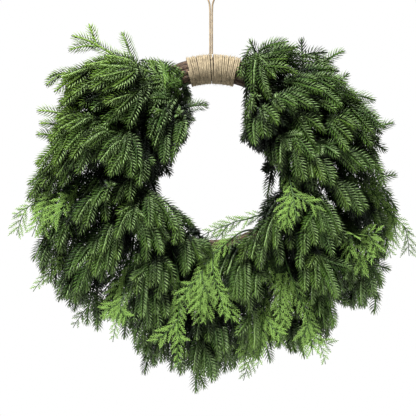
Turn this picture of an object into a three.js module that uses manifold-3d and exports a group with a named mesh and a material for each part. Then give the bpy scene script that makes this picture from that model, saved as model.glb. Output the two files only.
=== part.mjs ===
// A fresh evergreen wreath that hangs by a loop of twine. A steel hoop lies in the back of a bundle of
// bound woody stems, one thin wire winds round the bundle and holds the root of every spray of pine
// and cedar against it, a sleeve of jute twine covers the top, and a doubled strand of the same twine
// holds the wreath up. The sprays flow down both sides from the top and hang together below.
// Millimetres, +Z up, the front faces -Y. The origin is the inside top of the loop, where it bears on
// a hook; until the last lines every place is given from the middle of the hoop instead.
import * as THREE from 'three';
import Module from 'manifold-3d';
import { mergeVertices } from 'three/addons/utils/BufferGeometryUtils.js';

const wasm = await Module();
wasm.setup();

// ---------------------------------------------------------------- driving dimensions, mm and degrees

const RING_RADIUS = 152.5; // centreline of a 12 inch hoop
const RING_STEPS = 36;
const HOOP_WIRE = 4;
const HOOP_BACK = 18; // how far the hoop lies behind the middle of the bundle

const BUNDLE_PEAK = 20; // top of each stem, from the middle of the bundle
const BUNDLE_VALLEY = 18.2; // where a root lies, between two of them
const BUNDLE_STEMS = 6;
const STEM_WAVER = 0.6;
const GROOVE = [[3.6, 19.6], [2.4, 15.4]]; // half width and depth of the groove that holds the hoop

const ROOT_LIFT = 20.1; // middle of a spray's root, from the middle of the bundle
const ROOT_STEP = 10; // length of root on each side of the wire
const WIRE_LIFT = 23.2;
const WIRE_THICK = 1.2;
const WIRE_START = 19.5; // clock angle of the first turn, clear of the sleeve
const WIRE_TURNS = 16.5;
const WIRE_STEPS = 12;
const WIRE_PITCH = (360 - 2 * WIRE_START) / WIRE_TURNS;

const SLEEVE_LENGTH = 85;
const SLEEVE_RADIUS = 25;
const SLEEVE_INSIDE = 21.3;
const SLEEVE_TURNS = 15;
const SLEEVE_GROOVE = 1.1;
const SLEEVE_SIDES = 12;

const TWINE = 3;
const LOOP_X = -3; // the twine leaves the sleeve a little left of its middle
const STRAND_GAP = 0.4;
const LOOP_FOOT = RING_RADIUS + SLEEVE_RADIUS + 0.4;
const LOOP_BEND = 7.4; // centreline radius of the turn over the hook
const LOOP_BEND_Z = 274.5;
const LOOP_TOP = LOOP_BEND_Z + LOOP_BEND - TWINE / 2;

const LINK = 12; // spacing of the points that a stem is drawn with
const STEM_RADIUS = 2.2;
const FORK_DEPTH = 3; // how far a side shoot starts inside its stem
const TIP_RADIUS = 1;
const PINE_NEEDLE = 16;
const PINE_LEAN = 40;
const PINE_ROW = 33;
const PINE_COVER = 112; // length of a stem that carries needles, from its tip
const CEDAR_LEAF = 24;
const CEDAR_LEAN = 42;
const CEDAR_ROW = 22;
const CEDAR_COVER = 150;
const SLIVER = 0.05; // detail smaller than this is left out of a joined spray
const PINCH = 0.004; // corners of a joined spray are never closer than this
const LEAF_ROOT = 3; // length of stem that one row of needles takes up
const PINE_ROOM = 9.5; // room kept round a stem's middle for its needles
const CEDAR_ROOM = 11;
const BARE_ROOM = 2.6;

const DEPTH_BACK = 34; // nothing reaches further back, where the wall is
const DEPTH_FRONT = -116;
const HOLE = { x: -1, z: -8, halfWidth: 36, halfHeight: 84 };
const BUNDLE_ROOM = 25.8; // covers the bundle, the wire and the sleeve
const LOOP_ROOM = 9;

// ---------------------------------------------------------------- planting plan

const LEFT = -1;
const RIGHT = 1;
// Seats round the bundle, in degrees from its outer side towards its front.
const OUTER_BACK = -40;
const OUTER = 0;
const OUTER_FRONT = 40;
const FRONT = 90;
const INNER_FRONT = 140;
const INNER = 180;

// Each spray: its side, its root in degrees down from the top, its seat, and the tip of each of its
// shoots as x, y, z. The first tip is the stem's own and the others fork from that stem.
const PINE = [
  [LEFT, 22, OUTER, [-236, -10, 207], [-208, 5, 229], [-239, -30, 181], [-154, 10, 216]],
  [LEFT, 32, OUTER, [-270, -20, 140], [-275, -40, 122]],
  [LEFT, 44, OUTER, [-293, -30, -9], [-295, -10, 42], [-290, -45, 80], [-289, -20, 60]],
  [LEFT, 38, FRONT, [-234, -80, 32], [-248, -55, 78]],
  [LEFT, 28, FRONT, [-189, -80, 106], [-150, -70, 130], [-177, -50, 166]],
  [LEFT, 42, FRONT, [-177, -92, 16], [-194, -80, 48], [-149, -88, 62], [-126, -75, 29]],
  [LEFT, 23, FRONT, [-79, -60, 57], [-95, -72, 75], [-103, -62, 98]],
  [LEFT, 20, INNER_FRONT, [-31, -45, 62], [-52, -62, 73], [-7, -50, 88]],
  [LEFT, 34, INNER, [-70, -20, -27], [-62, -15, 14], [-46, -30, 29]],
  [LEFT, 52, FRONT, [-139, -88, -30], [-95, -75, -9]],
  [LEFT, 68, OUTER, [-308, -15, -42], [-282, -35, -22]],
  [LEFT, 74, FRONT, [-194, -92, -78], [-164, -96, -45], [-214, -66, -101], [-174, -70, -103]],
  [LEFT, 98, FRONT, [-226, -75, -181], [-194, -88, -157]],
  [LEFT, 92, OUTER_BACK, [-274, 10, -165], [-262, 0, -118]],
  [LEFT, 88, INNER_FRONT, [-133, -98, -116], [-156, -88, -91], [-112, -95, -96], [-79, -65, -86]],
  [LEFT, 120, INNER_FRONT, [-34, -50, -164], [-44, -22, -108], [-46, -38, -124]],
  [LEFT, 122, FRONT, [-115, -88, -258], [-131, -98, -198], [-67, -88, -178]],
  [LEFT, 112, OUTER, [-208, -45, -255], [-256, -5, -209], [-226, -30, -228], [-194, 15, -288]],
  [LEFT, 146, OUTER, [-115, 5, -360], [-97, -12, -345], [-131, -8, -314]],
  [LEFT, 164, OUTER, [-28, -20, -388], [-13, -38, -378], [-61, 10, -352]],
  [RIGHT, 22, OUTER_FRONT, [61, -25, 201], [49, -52, 155]],
  [RIGHT, 28, OUTER, [221, -5, 183], [149, 8, 207]],
  [RIGHT, 36, OUTER, [271, -15, 98], [233, -35, 111], [228, -10, 145]],
  [RIGHT, 28, FRONT, [203, -60, 130], [198, -80, 112]],
  [RIGHT, 24, FRONT, [89, -65, 32], [67, -78, 103], [80, -85, 78], [105, -82, 98]],
  [RIGHT, 28, OUTER_FRONT, [143, -82, 62], [134, -60, 105]],
  [RIGHT, 22, INNER_FRONT, [49, -40, 27], [62, -55, 60]],
  [RIGHT, 42, FRONT, [123, -88, 12], [143, -94, 37]],
  [RIGHT, 36, INNER, [90, -25, -63], [84, -40, -20]],
  [RIGHT, 44, OUTER_FRONT, [203, -88, 57], [228, -60, 76]],
  [RIGHT, 52, OUTER, [290, -15, 14], [303, -10, 62], [274, -42, 30]],
  [RIGHT, 60, FRONT, [203, -92, 2], [172, -92, 4], [216, -75, 29], [233, -60, -8]],
  [RIGHT, 74, OUTER, [300, 0, -60], [307, -15, -25]],
  [RIGHT, 104, FRONT, [200, -92, -227], [154, -88, -178], [226, -78, -180]],
  [RIGHT, 98, OUTER, [280, 10, -235], [298, 0, -184], [271, 20, -260]],
  [RIGHT, 122, OUTER_FRONT, [200, -25, -273], [226, -42, -239]],
  [RIGHT, 112, INNER_FRONT, [59, -72, -214], [84, -88, -200]],
  [RIGHT, 88, FRONT, [178, -98, -120], [146, -94, -116]],
  [RIGHT, 100, INNER, [74, -30, -119], [98, -48, -104]],
  [RIGHT, 148, FRONT, [67, -78, -311], [38, -84, -288]],
  [RIGHT, 166, OUTER, [31, -12, -352], [9, -28, -348]],
  [RIGHT, 148, OUTER_BACK, [97, 10, -340], [116, 0, -307], [165, -5, -275]],
];

const CEDAR = [
  [LEFT, 74, OUTER_FRONT, [-331, -30, -95], [-326, -20, -125], [-290, -48, -108], [-250, -62, -94]],
  [LEFT, 100, OUTER, [-300, -5, -219], [-276, 8, -206]],
  [LEFT, 108, OUTER_FRONT, [-162, -88, -296], [-180, -80, -250], [-138, -92, -262]],
  [LEFT, 116, OUTER_BACK, [-235, 15, -281], [-222, 5, -262]],
  [LEFT, 148, FRONT, [-56, -88, -339], [-95, -82, -300], [-48, -94, -296]],
  [RIGHT, 86, OUTER, [333, 0, -125], [330, 15, -160], [306, -10, -132]],
  [RIGHT, 78, OUTER_FRONT, [262, -78, -170], [228, -94, -127], [274, -70, -120]],
  [RIGHT, 74, FRONT, [134, -98, -99], [158, -94, -75]],
  [RIGHT, 116, INNER, [-21, -28, -127], [8, -32, -140]],
  [RIGHT, 134, INNER_FRONT, [-41, -88, -214], [-5, -92, -230], [20, -86, -258]],
  [RIGHT, 144, FRONT, [72, -78, -340], [112, -82, -292], [51, -8, -367]],
  [RIGHT, 130, OUTER_FRONT, [184, -58, -335], [141, -62, -301], [197, -45, -306]],
];

// ---------------------------------------------------------------- small helpers

const radians = (degrees) => degrees * Math.PI / 180;
const plus = (a, b, k = 1) => [a[0] + b[0] * k, a[1] + b[1] * k, a[2] + b[2] * k];
const minus = (a, b) => plus(a, b, -1);
const dot = (a, b) => a[0] * b[0] + a[1] * b[1] + a[2] * b[2];
const size = (a) => Math.sqrt(dot(a, a));
const times = (a, k) => plus([0, 0, 0], a, k);
const unit = (a) => times(a, 1 / size(a));
const blend = (a, j, b, k) => unit(plus(times(a, j), b, k));

function cross(a, b) {
  return [a[1] * b[2] - a[2] * b[1], a[2] * b[0] - a[0] * b[2], a[0] * b[1] - a[1] * b[0]];
}

// A closed geometry with shared vertices, which a boolean and the other tools can take.
function weld(geometry) {
  geometry.deleteAttribute('normal');
  geometry.deleteAttribute('uv');
  return mergeVertices(geometry, 1e-4);
}

function solidOf(geometry) {
  const vertProperties = Float32Array.from(geometry.attributes.position.array);
  const triVerts = Uint32Array.from(geometry.index.array);
  return new wasm.Manifold(new wasm.Mesh({ numProp: 3, vertProperties, triVerts }));
}

function geometryOf(solid) {
  const mesh = solid.getMesh();
  const geometry = new THREE.BufferGeometry();
  geometry.setAttribute('position', new THREE.BufferAttribute(mesh.vertProperties, 3));
  geometry.setIndex(new THREE.BufferAttribute(mesh.triVerts, 1));
  return geometry;
}

// The largest shell of a solid, without the small hollows that joined stems can seal.
function outerShell(solid) {
  return solid.decompose().reduce((best, shell) => (shell.volume() > best.volume() ? shell : best));
}

function named(name, geometry, color, roughness, metalness = 0) {
  const mesh = new THREE.Mesh(geometry, new THREE.MeshStandardMaterial({ color, roughness, metalness }));
  mesh.name = name;
  return mesh;
}

// ---------------------------------------------------------------- places round the ring

// clock: degrees round the ring from its top, clockwise seen from the front. seat: degrees round the
// bundle from its outer side towards the front. lift: distance from the middle of the bundle.
function outward(clock, seat) {
  const across = Math.cos(radians(seat));
  return [across * Math.sin(radians(clock)), -Math.sin(radians(seat)), across * Math.cos(radians(clock))];
}

function ringPoint(clock, seat, lift) {
  const middle = [RING_RADIUS * Math.sin(radians(clock)), 0, RING_RADIUS * Math.cos(radians(clock))];
  return plus(middle, outward(clock, seat), lift);
}

function ringTangent(clock, side) {
  return [side * Math.cos(radians(clock)), 0, -side * Math.sin(radians(clock))];
}

const degreesAlong = (length) => length / RING_RADIUS * 180 / Math.PI;

// ---------------------------------------------------------------- hoop, bundle, wire

function hoop() {
  const geometry = new THREE.TorusGeometry(RING_RADIUS, HOOP_WIRE / 2, 6, RING_STEPS);
  const mesh = named('wire_hoop', weld(geometry), 0x2f3a2c, 0.45, 0.8);
  mesh.rotation.x = Math.PI / 2;
  mesh.position.y = HOOP_BACK;
  return mesh;
}

// Seat angle and radius of each corner of the bundle's section at one clock angle.
function bundleSection(clock) {
  const corners = [];
  for (let stem = 0; stem < BUNDLE_STEMS; stem += 1) {
    const seat = 270 + (stem + 0.5) * 360 / BUNDLE_STEMS;
    const waver = STEM_WAVER * Math.sin(radians(3 * clock + 130 * stem));
    corners.push([seat, BUNDLE_PEAK + waver]);
    corners.push([seat + 180 / BUNDLE_STEMS, BUNDLE_VALLEY]);
  }
  corners.pop();
  const [lip, floor] = GROOVE.map(([half, depth]) => (
    [Math.atan2(half, depth) * 180 / Math.PI, Math.hypot(half, depth)]
  ));
  corners.push([270 - lip[0], lip[1]], [270 - floor[0], floor[1]]);
  corners.push([270 + floor[0], floor[1]], [270 + lip[0], lip[1]]);
  return corners;
}

// A torus whose section is six stems side by side, with the hoop's groove between two at the back.
function stemBundle() {
  const sides = bundleSection(0).length;
  const torus = weld(new THREE.TorusGeometry(RING_RADIUS, BUNDLE_PEAK, sides, RING_STEPS));
  const position = torus.attributes.position;
  for (let k = 0; k < position.count; k += 1) {
    const [x, y, z] = [position.getX(k), position.getY(k), position.getZ(k)];
    const clock = Math.atan2(x, y) * 180 / Math.PI;
    const turn = Math.atan2(z, Math.hypot(x, y) - RING_RADIUS) / (2 * Math.PI);
    const corner = bundleSection(clock)[(Math.round(turn * sides) + sides) % sides];
    position.setXYZ(k, ...ringPoint(clock, corner[0], corner[1]));
  }
  return named('stem_bundle', torus, 0x4a3826, 0.9);
}

class WireHelix extends THREE.Curve {
  getPoint(t, target = new THREE.Vector3()) {
    const turn = t * WIRE_TURNS;
    return target.set(...ringPoint(WIRE_START + turn * WIRE_PITCH, 360 * turn, WIRE_LIFT));
  }
}

function bindingWire() {
  const section = new THREE.Shape();
  for (let k = 0; k < 3; k += 1) {
    const angle = 2 * Math.PI * k / 3;
    const corner = [WIRE_THICK / 2 * Math.cos(angle), WIRE_THICK / 2 * Math.sin(angle)];
    if (k === 0) section.moveTo(...corner);
    else section.lineTo(...corner);
  }
  const steps = WIRE_TURNS * WIRE_STEPS;
  const options = { steps, bevelEnabled: false, extrudePath: new WireHelix() };
  return named('binding_wire', weld(new THREE.ExtrudeGeometry(section, options)), 0x3a4a34, 0.4, 0.8);
}

// ---------------------------------------------------------------- sleeve and loop of twine

// Turned as a ridged tube along Y, then bent round the ring.
function sleeve() {
  const profile = [];
  const half = SLEEVE_LENGTH / 2;
  const turn = SLEEVE_LENGTH / SLEEVE_TURNS;
  for (let k = 0; k <= 2 * SLEEVE_TURNS; k += 1) {
    const radius = SLEEVE_RADIUS - (k % 2 ? 0 : SLEEVE_GROOVE);
    profile.push(new THREE.Vector2(radius, -half + k * turn / 2));
  }
  const insideSteps = 8;
  for (let k = insideSteps; k >= 0; k -= 1) {
    profile.push(new THREE.Vector2(SLEEVE_INSIDE, -half + k * SLEEVE_LENGTH / insideSteps));
  }
  profile.push(profile[0].clone());
  const tube = weld(new THREE.LatheGeometry(profile, SLEEVE_SIDES));
  const position = tube.attributes.position;
  for (let k = 0; k < position.count; k += 1) {
    const [x, y, z] = [position.getX(k), position.getY(k), position.getZ(k)];
    const seat = Math.atan2(x, z) * 180 / Math.PI;
    position.setXYZ(k, ...ringPoint(degreesAlong(y), seat, Math.hypot(x, z)));
  }
  return named('jute_sleeve', tube, 0xb99d70, 0.95);
}

// Half the distance between the two strands, at heights above the middle of the hoop.
const STRAND_HALF = (TWINE + STRAND_GAP) / 2;
const LOOP_SIDE = [
  [STRAND_HALF, LOOP_FOOT],
  [STRAND_HALF, 190],
  [STRAND_HALF, 204],
  [STRAND_HALF, 218],
  [STRAND_HALF, 232],
  [STRAND_HALF + 0.1, 244],
  [2.5, 253],
  [4.1, 261],
  [6.2, 268],
];

function loopRoute() {
  const up = LOOP_SIDE.map(([half, z]) => new THREE.Vector3(LOOP_X - half, 0, z));
  const over = [180, 135, 90, 45, 0].map((angle) => new THREE.Vector3(
    LOOP_X + LOOP_BEND * Math.cos(radians(angle)), 0, LOOP_BEND_Z + LOOP_BEND * Math.sin(radians(angle)),
  ));
  const down = LOOP_SIDE.map(([half, z]) => new THREE.Vector3(LOOP_X + half, 0, z)).reverse();
  return [...up, ...over, ...down];
}

function hangingLoop() {
  const section = new THREE.Shape();
  const sides = 8;
  for (let k = 0; k < sides; k += 1) {
    const angle = 2 * Math.PI * (k + 0.5) / sides;
    const corner = [TWINE / 2 * Math.cos(angle), TWINE / 2 * Math.sin(angle)];
    if (k === 0) section.moveTo(...corner);
    else section.lineTo(...corner);
  }
  const extrudePath = new THREE.CatmullRomCurve3(loopRoute());
  const options = { steps: 26, bevelEnabled: false, extrudePath };
  return named('hanging_loop', weld(new THREE.ExtrudeGeometry(section, options)), 0x9c8058, 0.95);
}

// ---------------------------------------------------------------- laying out the sprays

const SEATS = [-30, 30, 90, 150, 210]; // the valleys between the bundle's stems, but not the hoop's

// Every place where a turn of the wire can hold a root, in order along the wire.
function wireSeats() {
  const seats = [];
  for (let turn = 0; turn < WIRE_TURNS; turn += 1) {
    for (const seat of SEATS) {
      const clock = WIRE_START + (turn + seat / 360) * WIRE_PITCH;
      if (clock > WIRE_START && clock < 360 - WIRE_START) seats.push({ clock, seat, free: true });
    }
  }
  return seats;
}

// The free place nearest to where the plan puts a root, by distance along and round the bundle.
function takeSeat(seats, side, at, seat) {
  const clock = side > 0 ? at : 360 - at;
  const own = seats.filter((place) => place.free && (side > 0 ? place.clock <= 180 : place.clock > 180));
  const far = (place) => Math.hypot((place.clock - clock) * 2.7, (place.seat - seat) * 0.6);
  const nearest = own.reduce((best, place) => (far(place) < far(best) ? place : best));
  nearest.free = false;
  return nearest;
}

function bezier(a, b, c, d, t) {
  const s = 1 - t;
  const start = plus(times(a, s * s * s), b, 3 * s * s * t);
  return plus(plus(start, c, 3 * s * t * t), d, t * t * t);
}

// A curve of evenly numbered points from one place and direction to a tip, with a slight droop.
function reachTo(from, leave, tip) {
  const chord = minus(tip, from);
  const reach = size(chord);
  const settle = unit(plus(unit(chord), [0, 0, -0.25]));
  const near = plus(from, leave, reach * 0.35);
  const far = plus(tip, settle, -reach * 0.3);
  const count = Math.max(3, Math.ceil(reach * 1.05 / LINK));
  const points = [];
  for (let k = 1; k <= count; k += 1) points.push(bezier(from, near, far, tip, k / count));
  return points;
}

// The point of a stem from which a side shoot to this tip would fork nearest to 42 degrees.
function forkIndex(stem, tip) {
  let best = 4;
  let least = Infinity;
  for (let k = 4; k < stem.length - 2; k += 1) {
    const along = unit(minus(stem[k + 1], stem[k - 1]));
    const chord = minus(tip, stem[k]);
    const angle = Math.acos(dot(along, unit(chord))) * 180 / Math.PI;
    const miss = Math.abs(angle - 42) + Math.abs(size(chord) - 75) * 0.3;
    if (miss < least) {
      least = miss;
      best = k;
    }
  }
  return best;
}

// All points of all sprays, and for each spray the lines of point numbers that its shoots follow.
function plant(plan) {
  const points = [];
  const seats = wireSeats();
  const add = (place, spray, room, still) => points.push({ place, home: place, spray, room, still }) - 1;
  const sprays = plan.map(({ kind, side, at, seat, tips }, number) => {
    const root = takeSeat(seats, side, at, seat);
    const step = side * degreesAlong(ROOT_STEP);
    const stem = [-1, 0, 1].map((k) => ringPoint(root.clock + k * step, root.seat, ROOT_LIFT));
    const facing = outward(root.clock, root.seat);
    const leave = blend(ringTangent(root.clock + step, side), 0.8, facing, 0.6);
    stem.push(...reachTo(stem[2], leave, tips[0]));
    const room = kind === 'pine' ? PINE_ROOM : CEDAR_ROOM;
    const cover = kind === 'pine' ? PINE_COVER : CEDAR_COVER;
    const firstLeaf = Math.max(5, stem.length - 1 - Math.round(cover / LINK));
    const lines = [stem.map((place, k) => add(place, number, k < firstLeaf ? BARE_ROOM : room, k < 3))];
    const firstLeaves = [firstLeaf];
    for (const tip of tips.slice(1)) {
      const fork = forkIndex(stem, tip);
      const along = unit(minus(stem[fork + 1], stem[fork]));
      const away = blend(along, 1, unit(minus(tip, stem[fork])), 1);
      const shoot = reachTo(stem[fork], away, tip);
      lines.push([lines[0][fork], ...shoot.map((place) => add(place, number, room, false))]);
      firstLeaves.push(1);
    }
    return { kind, number, lines, firstLeaves, facing };
  });
  return { points, sprays };
}

// Depth gives way three times as easily as the outline seen from the front.
const EASE = [0.35, 1, 0.35];
const RELAX_STEPS = 240;

function pushApart(points, pairs) {
  const moves = points.map(() => [0, 0, 0]);
  for (const [i, j] of pairs) {
    const [a, b] = [points[i], points[j]];
    const gap = minus(a.place, b.place);
    const distance = size(gap);
    const short = a.room + b.room - distance;
    if (short <= 0 || distance < 1e-6) continue;
    const n = [gap[0] / distance, gap[1] / distance, gap[2] / distance];
    const give = n[0] * n[0] * EASE[0] + n[1] * n[1] * EASE[1] + n[2] * n[2] * EASE[2];
    const share = short / give * (a.still || b.still ? 0.5 : 0.25);
    for (let k = 0; k < 3; k += 1) {
      if (!a.still) moves[i][k] += n[k] * EASE[k] * share;
      if (!b.still) moves[j][k] -= n[k] * EASE[k] * share;
    }
  }
  points.forEach((point, i) => {
    point.place = plus(point.place, moves[i]);
  });
}

// Keeps a length between two points, or the longer span over one bend.
function keepLength(points, [i, j, rest, strength]) {
  const [a, b] = [points[i], points[j]];
  const gap = minus(b.place, a.place);
  const distance = size(gap);
  const share = (distance - rest) / distance * strength * (a.still || b.still ? 1 : 0.5);
  if (!a.still) a.place = plus(a.place, gap, share);
  if (!b.still) b.place = plus(b.place, gap, -share);
}

// Out of the bundle, the hole and the loop, and between the wall and the furthest front.
function keepClear(point) {
  let [x, y, z] = point.place;
  const across = Math.hypot(x, z);
  const lift = Math.hypot(across - RING_RADIUS, y);
  const least = BUNDLE_ROOM + point.room;
  if (lift < least) {
    const grow = least / lift;
    const reach = (RING_RADIUS + (across - RING_RADIUS) * grow) / across;
    [x, y, z] = [x * reach, y * grow, z * reach];
  }
  const u = (x - HOLE.x) / (HOLE.halfWidth + point.room);
  const w = (z - HOLE.z) / (HOLE.halfHeight + point.room);
  const inside = Math.hypot(u, w);
  if (inside < 1) {
    x = HOLE.x + (x - HOLE.x) / inside;
    z = HOLE.z + (z - HOLE.z) / inside;
  }
  const side = Math.hypot(x - LOOP_X, y);
  if (z > RING_RADIUS && side < LOOP_ROOM + point.room) {
    x = LOOP_X + (x - LOOP_X) * (LOOP_ROOM + point.room) / side;
  }
  y = Math.min(DEPTH_BACK - point.room, Math.max(DEPTH_FRONT + point.room, y));
  point.place = [x, y, z];
}

// The lengths that a line keeps: from each point to the next, and less strictly to the one after it.
function linksOf(points, sprays) {
  const links = [];
  const link = (i, j, strength) => {
    links.push([i, j, size(minus(points[i].place, points[j].place)), strength]);
  };
  for (const line of sprays.flatMap(({ lines }) => lines)) {
    for (let k = 1; k < line.length; k += 1) link(line[k - 1], line[k], 0.9);
    for (let k = 2; k < line.length; k += 1) link(line[k - 2], line[k], 0.5);
  }
  return links;
}

// Moves the points apart until sprays that would cross lie clear of each other.
function relax({ points, sprays }) {
  const pairs = [];
  for (let i = 0; i < points.length; i += 1) {
    for (let j = i + 1; j < points.length; j += 1) {
      const near = size(minus(points[i].place, points[j].place)) < 64;
      if (points[i].spray !== points[j].spray && near) pairs.push([i, j]);
    }
  }
  const links = linksOf(points, sprays);
  const bound = new Set(sprays.flatMap(({ lines }) => lines[0].slice(0, 4)));
  for (let step = 0; step < RELAX_STEPS; step += 1) {
    pushApart(points, pairs);
    points.forEach((point, i) => {
      if (point.still) return;
      point.place = plus(point.place, minus(point.home, point.place), 0.01);
      if (!bound.has(i)) keepClear(point);
    });
    for (const link of links) keepLength(points, link);
  }
}

// ---------------------------------------------------------------- needles and leaves

// A line of points as a path with a length, a place and a direction at any distance along it.
function pathOf(places) {
  const marks = [0];
  for (let k = 1; k < places.length; k += 1) marks.push(marks[k - 1] + size(minus(places[k], places[k - 1])));
  const length = marks[marks.length - 1];
  const at = (s) => {
    let k = 1;
    while (k < places.length - 1 && marks[k] < s) k += 1;
    const t = (s - marks[k - 1]) / (marks[k] - marks[k - 1]);
    return plus(places[k - 1], minus(places[k], places[k - 1]), t);
  };
  const along = (s) => unit(minus(at(Math.min(length, s + 6)), at(Math.max(0, s - 6))));
  return { length, marks, at, along };
}

const FRONTWARD = [0, -1, 0];
const TURN_FROM = 26; // a stem turns its face from the ring to the front between these lengths
const TURN_TO = 96;

// Across and face directions of a stem. Cedar's flat sprays lie across, facing the front.
function frameAt(path, s, facing) {
  const along = path.along(s);
  const turned = Math.min(1, Math.max(0, (s - TURN_FROM) / (TURN_TO - TURN_FROM)));
  const toward = facing ? plus(times(facing, 1 - turned), FRONTWARD, turned) : FRONTWARD;
  const face = unit(minus(toward, times(along, dot(toward, along))));
  return { along, face, across: cross(face, along) };
}

function segmentDistance(point, a, b) {
  const line = minus(b, a);
  const t = Math.min(1, Math.max(0, dot(minus(point, a), line) / dot(line, line)));
  return size(minus(point, plus(a, line, t)));
}

const REACH = 50; // further stems can't be the nearest to a needle's tip

// True where a needle's tip is nearer to its own spray than to any other, and clear of the rest.
function tipIsFree(tip, number, segments) {
  const across = Math.hypot(tip[0], tip[2]);
  if (Math.hypot(across - RING_RADIUS, tip[1]) < BUNDLE_ROOM + 0.5) return false;
  const hole = Math.hypot((tip[0] - HOLE.x) / HOLE.halfWidth, (tip[2] - HOLE.z) / HOLE.halfHeight);
  if (hole < 1) return false;
  if (tip[2] > RING_RADIUS && Math.hypot(tip[0] - LOOP_X, tip[1]) < LOOP_ROOM) return false;
  let own = Infinity;
  let other = Infinity;
  for (const { spray, a, b } of segments) {
    if (Math.abs(a[0] - tip[0]) > REACH || Math.abs(a[2] - tip[2]) > REACH) continue;
    const distance = segmentDistance(tip, a, b);
    if (spray === number) own = Math.min(own, distance);
    else other = Math.min(other, distance);
  }
  return other > own + 1.2;
}

const NEEDLES = { reach: () => PINE_NEEDLE, lean: PINE_LEAN, row: PINE_ROW, flat: false };
const LEAVES = {
  reach: (t) => CEDAR_LEAF * Math.sin(Math.PI * (0.22 + 0.66 * t)),
  lean: CEDAR_LEAN,
  row: CEDAR_ROW,
  flat: true,
};

// Where a stem has a ring of corners: every second point of its bare part, then the start and end of
// each row of needles.
function stationsOf(path, firstLeaf, form) {
  const from = Math.max(path.marks[firstLeaf], 8);
  const rows = Math.max(2, Math.round((path.length - from) / form.row));
  const pitch = (path.length - LEAF_ROOT - 8 - from) / (rows - 1);
  const stations = [];
  for (let k = 0; path.marks[k] < from - 4; k += 2) stations.push({ s: path.marks[k], row: 0 });
  for (let row = 0; row < rows; row += 1) {
    const s = from + row * pitch;
    stations.push({ s, row }, { s: s + LEAF_ROOT, row, raised: true });
  }
  return stations;
}

// The three corners of a stem at one station.
function stemCorners(path, { s, row }, { facing, form, turn }) {
  const { across, face } = frameAt(path, s, facing);
  const turned = turn + (form.flat ? 0 : 60 * (row % 2));
  const radius = STEM_RADIUS + (TIP_RADIUS - STEM_RADIUS) * s / path.length;
  return [-30, 90, 210].map((angle) => {
    const around = radians(angle + turned);
    const out = plus(times(across, Math.cos(around)), face, Math.sin(around));
    return plus(path.at(s), out, radius);
  });
}

// A cell between four corners as two faces, split along its shorter diagonal.
function splitCell([a, b, c, d], places) {
  const split = size(minus(places[0], places[2])) < size(minus(places[1], places[3]));
  return split ? [[a, b, c], [a, c, d]] : [[a, b, d], [b, c, d]];
}

// A three-sided stem with rows of needles raised from its faces, closed at the root and pointed at
// the tip. A needle that would reach another spray leans closer to the stem, or is left flat.
function leafyStem(shoot, segments) {
  const path = pathOf(shoot.places);
  const stations = stationsOf(path, shoot.firstLeaf, shoot.form);
  const positions = stations.flatMap((station) => stemCorners(path, station, shoot));
  const index = [[0, 2, 1]];
  for (let k = 3; k < 3 * stations.length; k += 1) {
    const next = k % 3 === 2 ? k - 2 : k + 1;
    const corners = [k - 3, next - 3, next, k];
    const { s, raised } = stations[Math.floor(k / 3)];
    const grows = raised && (!shoot.form.flat || k % 3 < 2);
    const base = corners.map((corner) => positions[corner]);
    const tip = grows ? needleTip(path, s, base, shoot, segments) : null;
    if (tip) {
      positions.push(tip);
      corners.forEach((corner, c) => index.push([corner, corners[(c + 1) % 4], positions.length - 1]));
    } else {
      index.push(...splitCell(corners, base));
    }
  }
  const end = 3 * stations.length - 3;
  positions.push(path.at(path.length));
  const last = positions.length - 1;
  index.push([end, end + 1, last], [end + 1, end + 2, last], [end + 2, end, last]);
  const geometry = new THREE.BufferGeometry();
  geometry.setAttribute('position', new THREE.Float32BufferAttribute(positions.flat(), 3));
  geometry.setIndex(index.flat());
  return geometry;
}

function needleTip(path, s, corners, { facing, form, number }, segments) {
  const middle = corners.reduce((sum, corner) => plus(sum, corner, 0.25), [0, 0, 0]);
  const { along, across } = frameAt(path, s, facing);
  const from = minus(middle, path.at(s));
  const aside = times(across, Math.sign(dot(from, across)));
  const out = form.flat ? aside : unit(minus(from, times(along, dot(from, along))));
  const reach = form.reach(s / path.length);
  for (const ease of [1, 0.75, 0.5]) {
    const lean = radians(form.lean * ease);
    const tip = plus(plus(middle, along, reach * Math.cos(lean)), out, reach * Math.sin(lean));
    if (tipIsFree(tip, number, segments)) return tip;
  }
  return null;
}

// The stem and its side shoots as one solid. Each side shoot starts a little way inside the stem and
// is turned on its own line by the given degrees.
function joinedShoots({ kind, number, lines, firstLeaves, facing }, points, segments, turn) {
  const form = kind === 'pine' ? NEEDLES : LEAVES;
  const stems = lines.map((line, k) => {
    const places = line.map((point) => points[point].place);
    const common = { places, number, form, firstLeaf: firstLeaves[k] };
    if (k === 0) return { ...common, facing, turn: 0 };
    places[0] = plus(places[0], unit(minus(places[0], places[1])), FORK_DEPTH);
    return { ...common, facing: null, turn };
  });
  const solids = stems.map((shoot) => solidOf(leafyStem(shoot, segments)));
  const joined = solids.reduce((all, solid) => all.add(solid));
  return geometryOf(outerShell(joined.simplify(SLIVER)));
}

// False where more than two faces meet in an edge, or two corners lie so close that rounding would
// pinch the mesh there.
function isSound(geometry) {
  const { array, count } = geometry.attributes.position;
  const faces = geometry.index.array;
  const edges = new Set();
  for (let k = 0; k < faces.length; k += 1) {
    const next = k % 3 === 2 ? k - 2 : k + 1;
    edges.add(`${faces[k]} ${faces[next]}`);
  }
  if (edges.size < faces.length) return false;
  for (let i = 0; i < count; i += 1) {
    for (let j = i + 1; j < count; j += 1) {
      const gap = [0, 1, 2].map((k) => array[3 * i + k] - array[3 * j + k]);
      if (size(gap) < PINCH) return false;
    }
  }
  return true;
}

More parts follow.
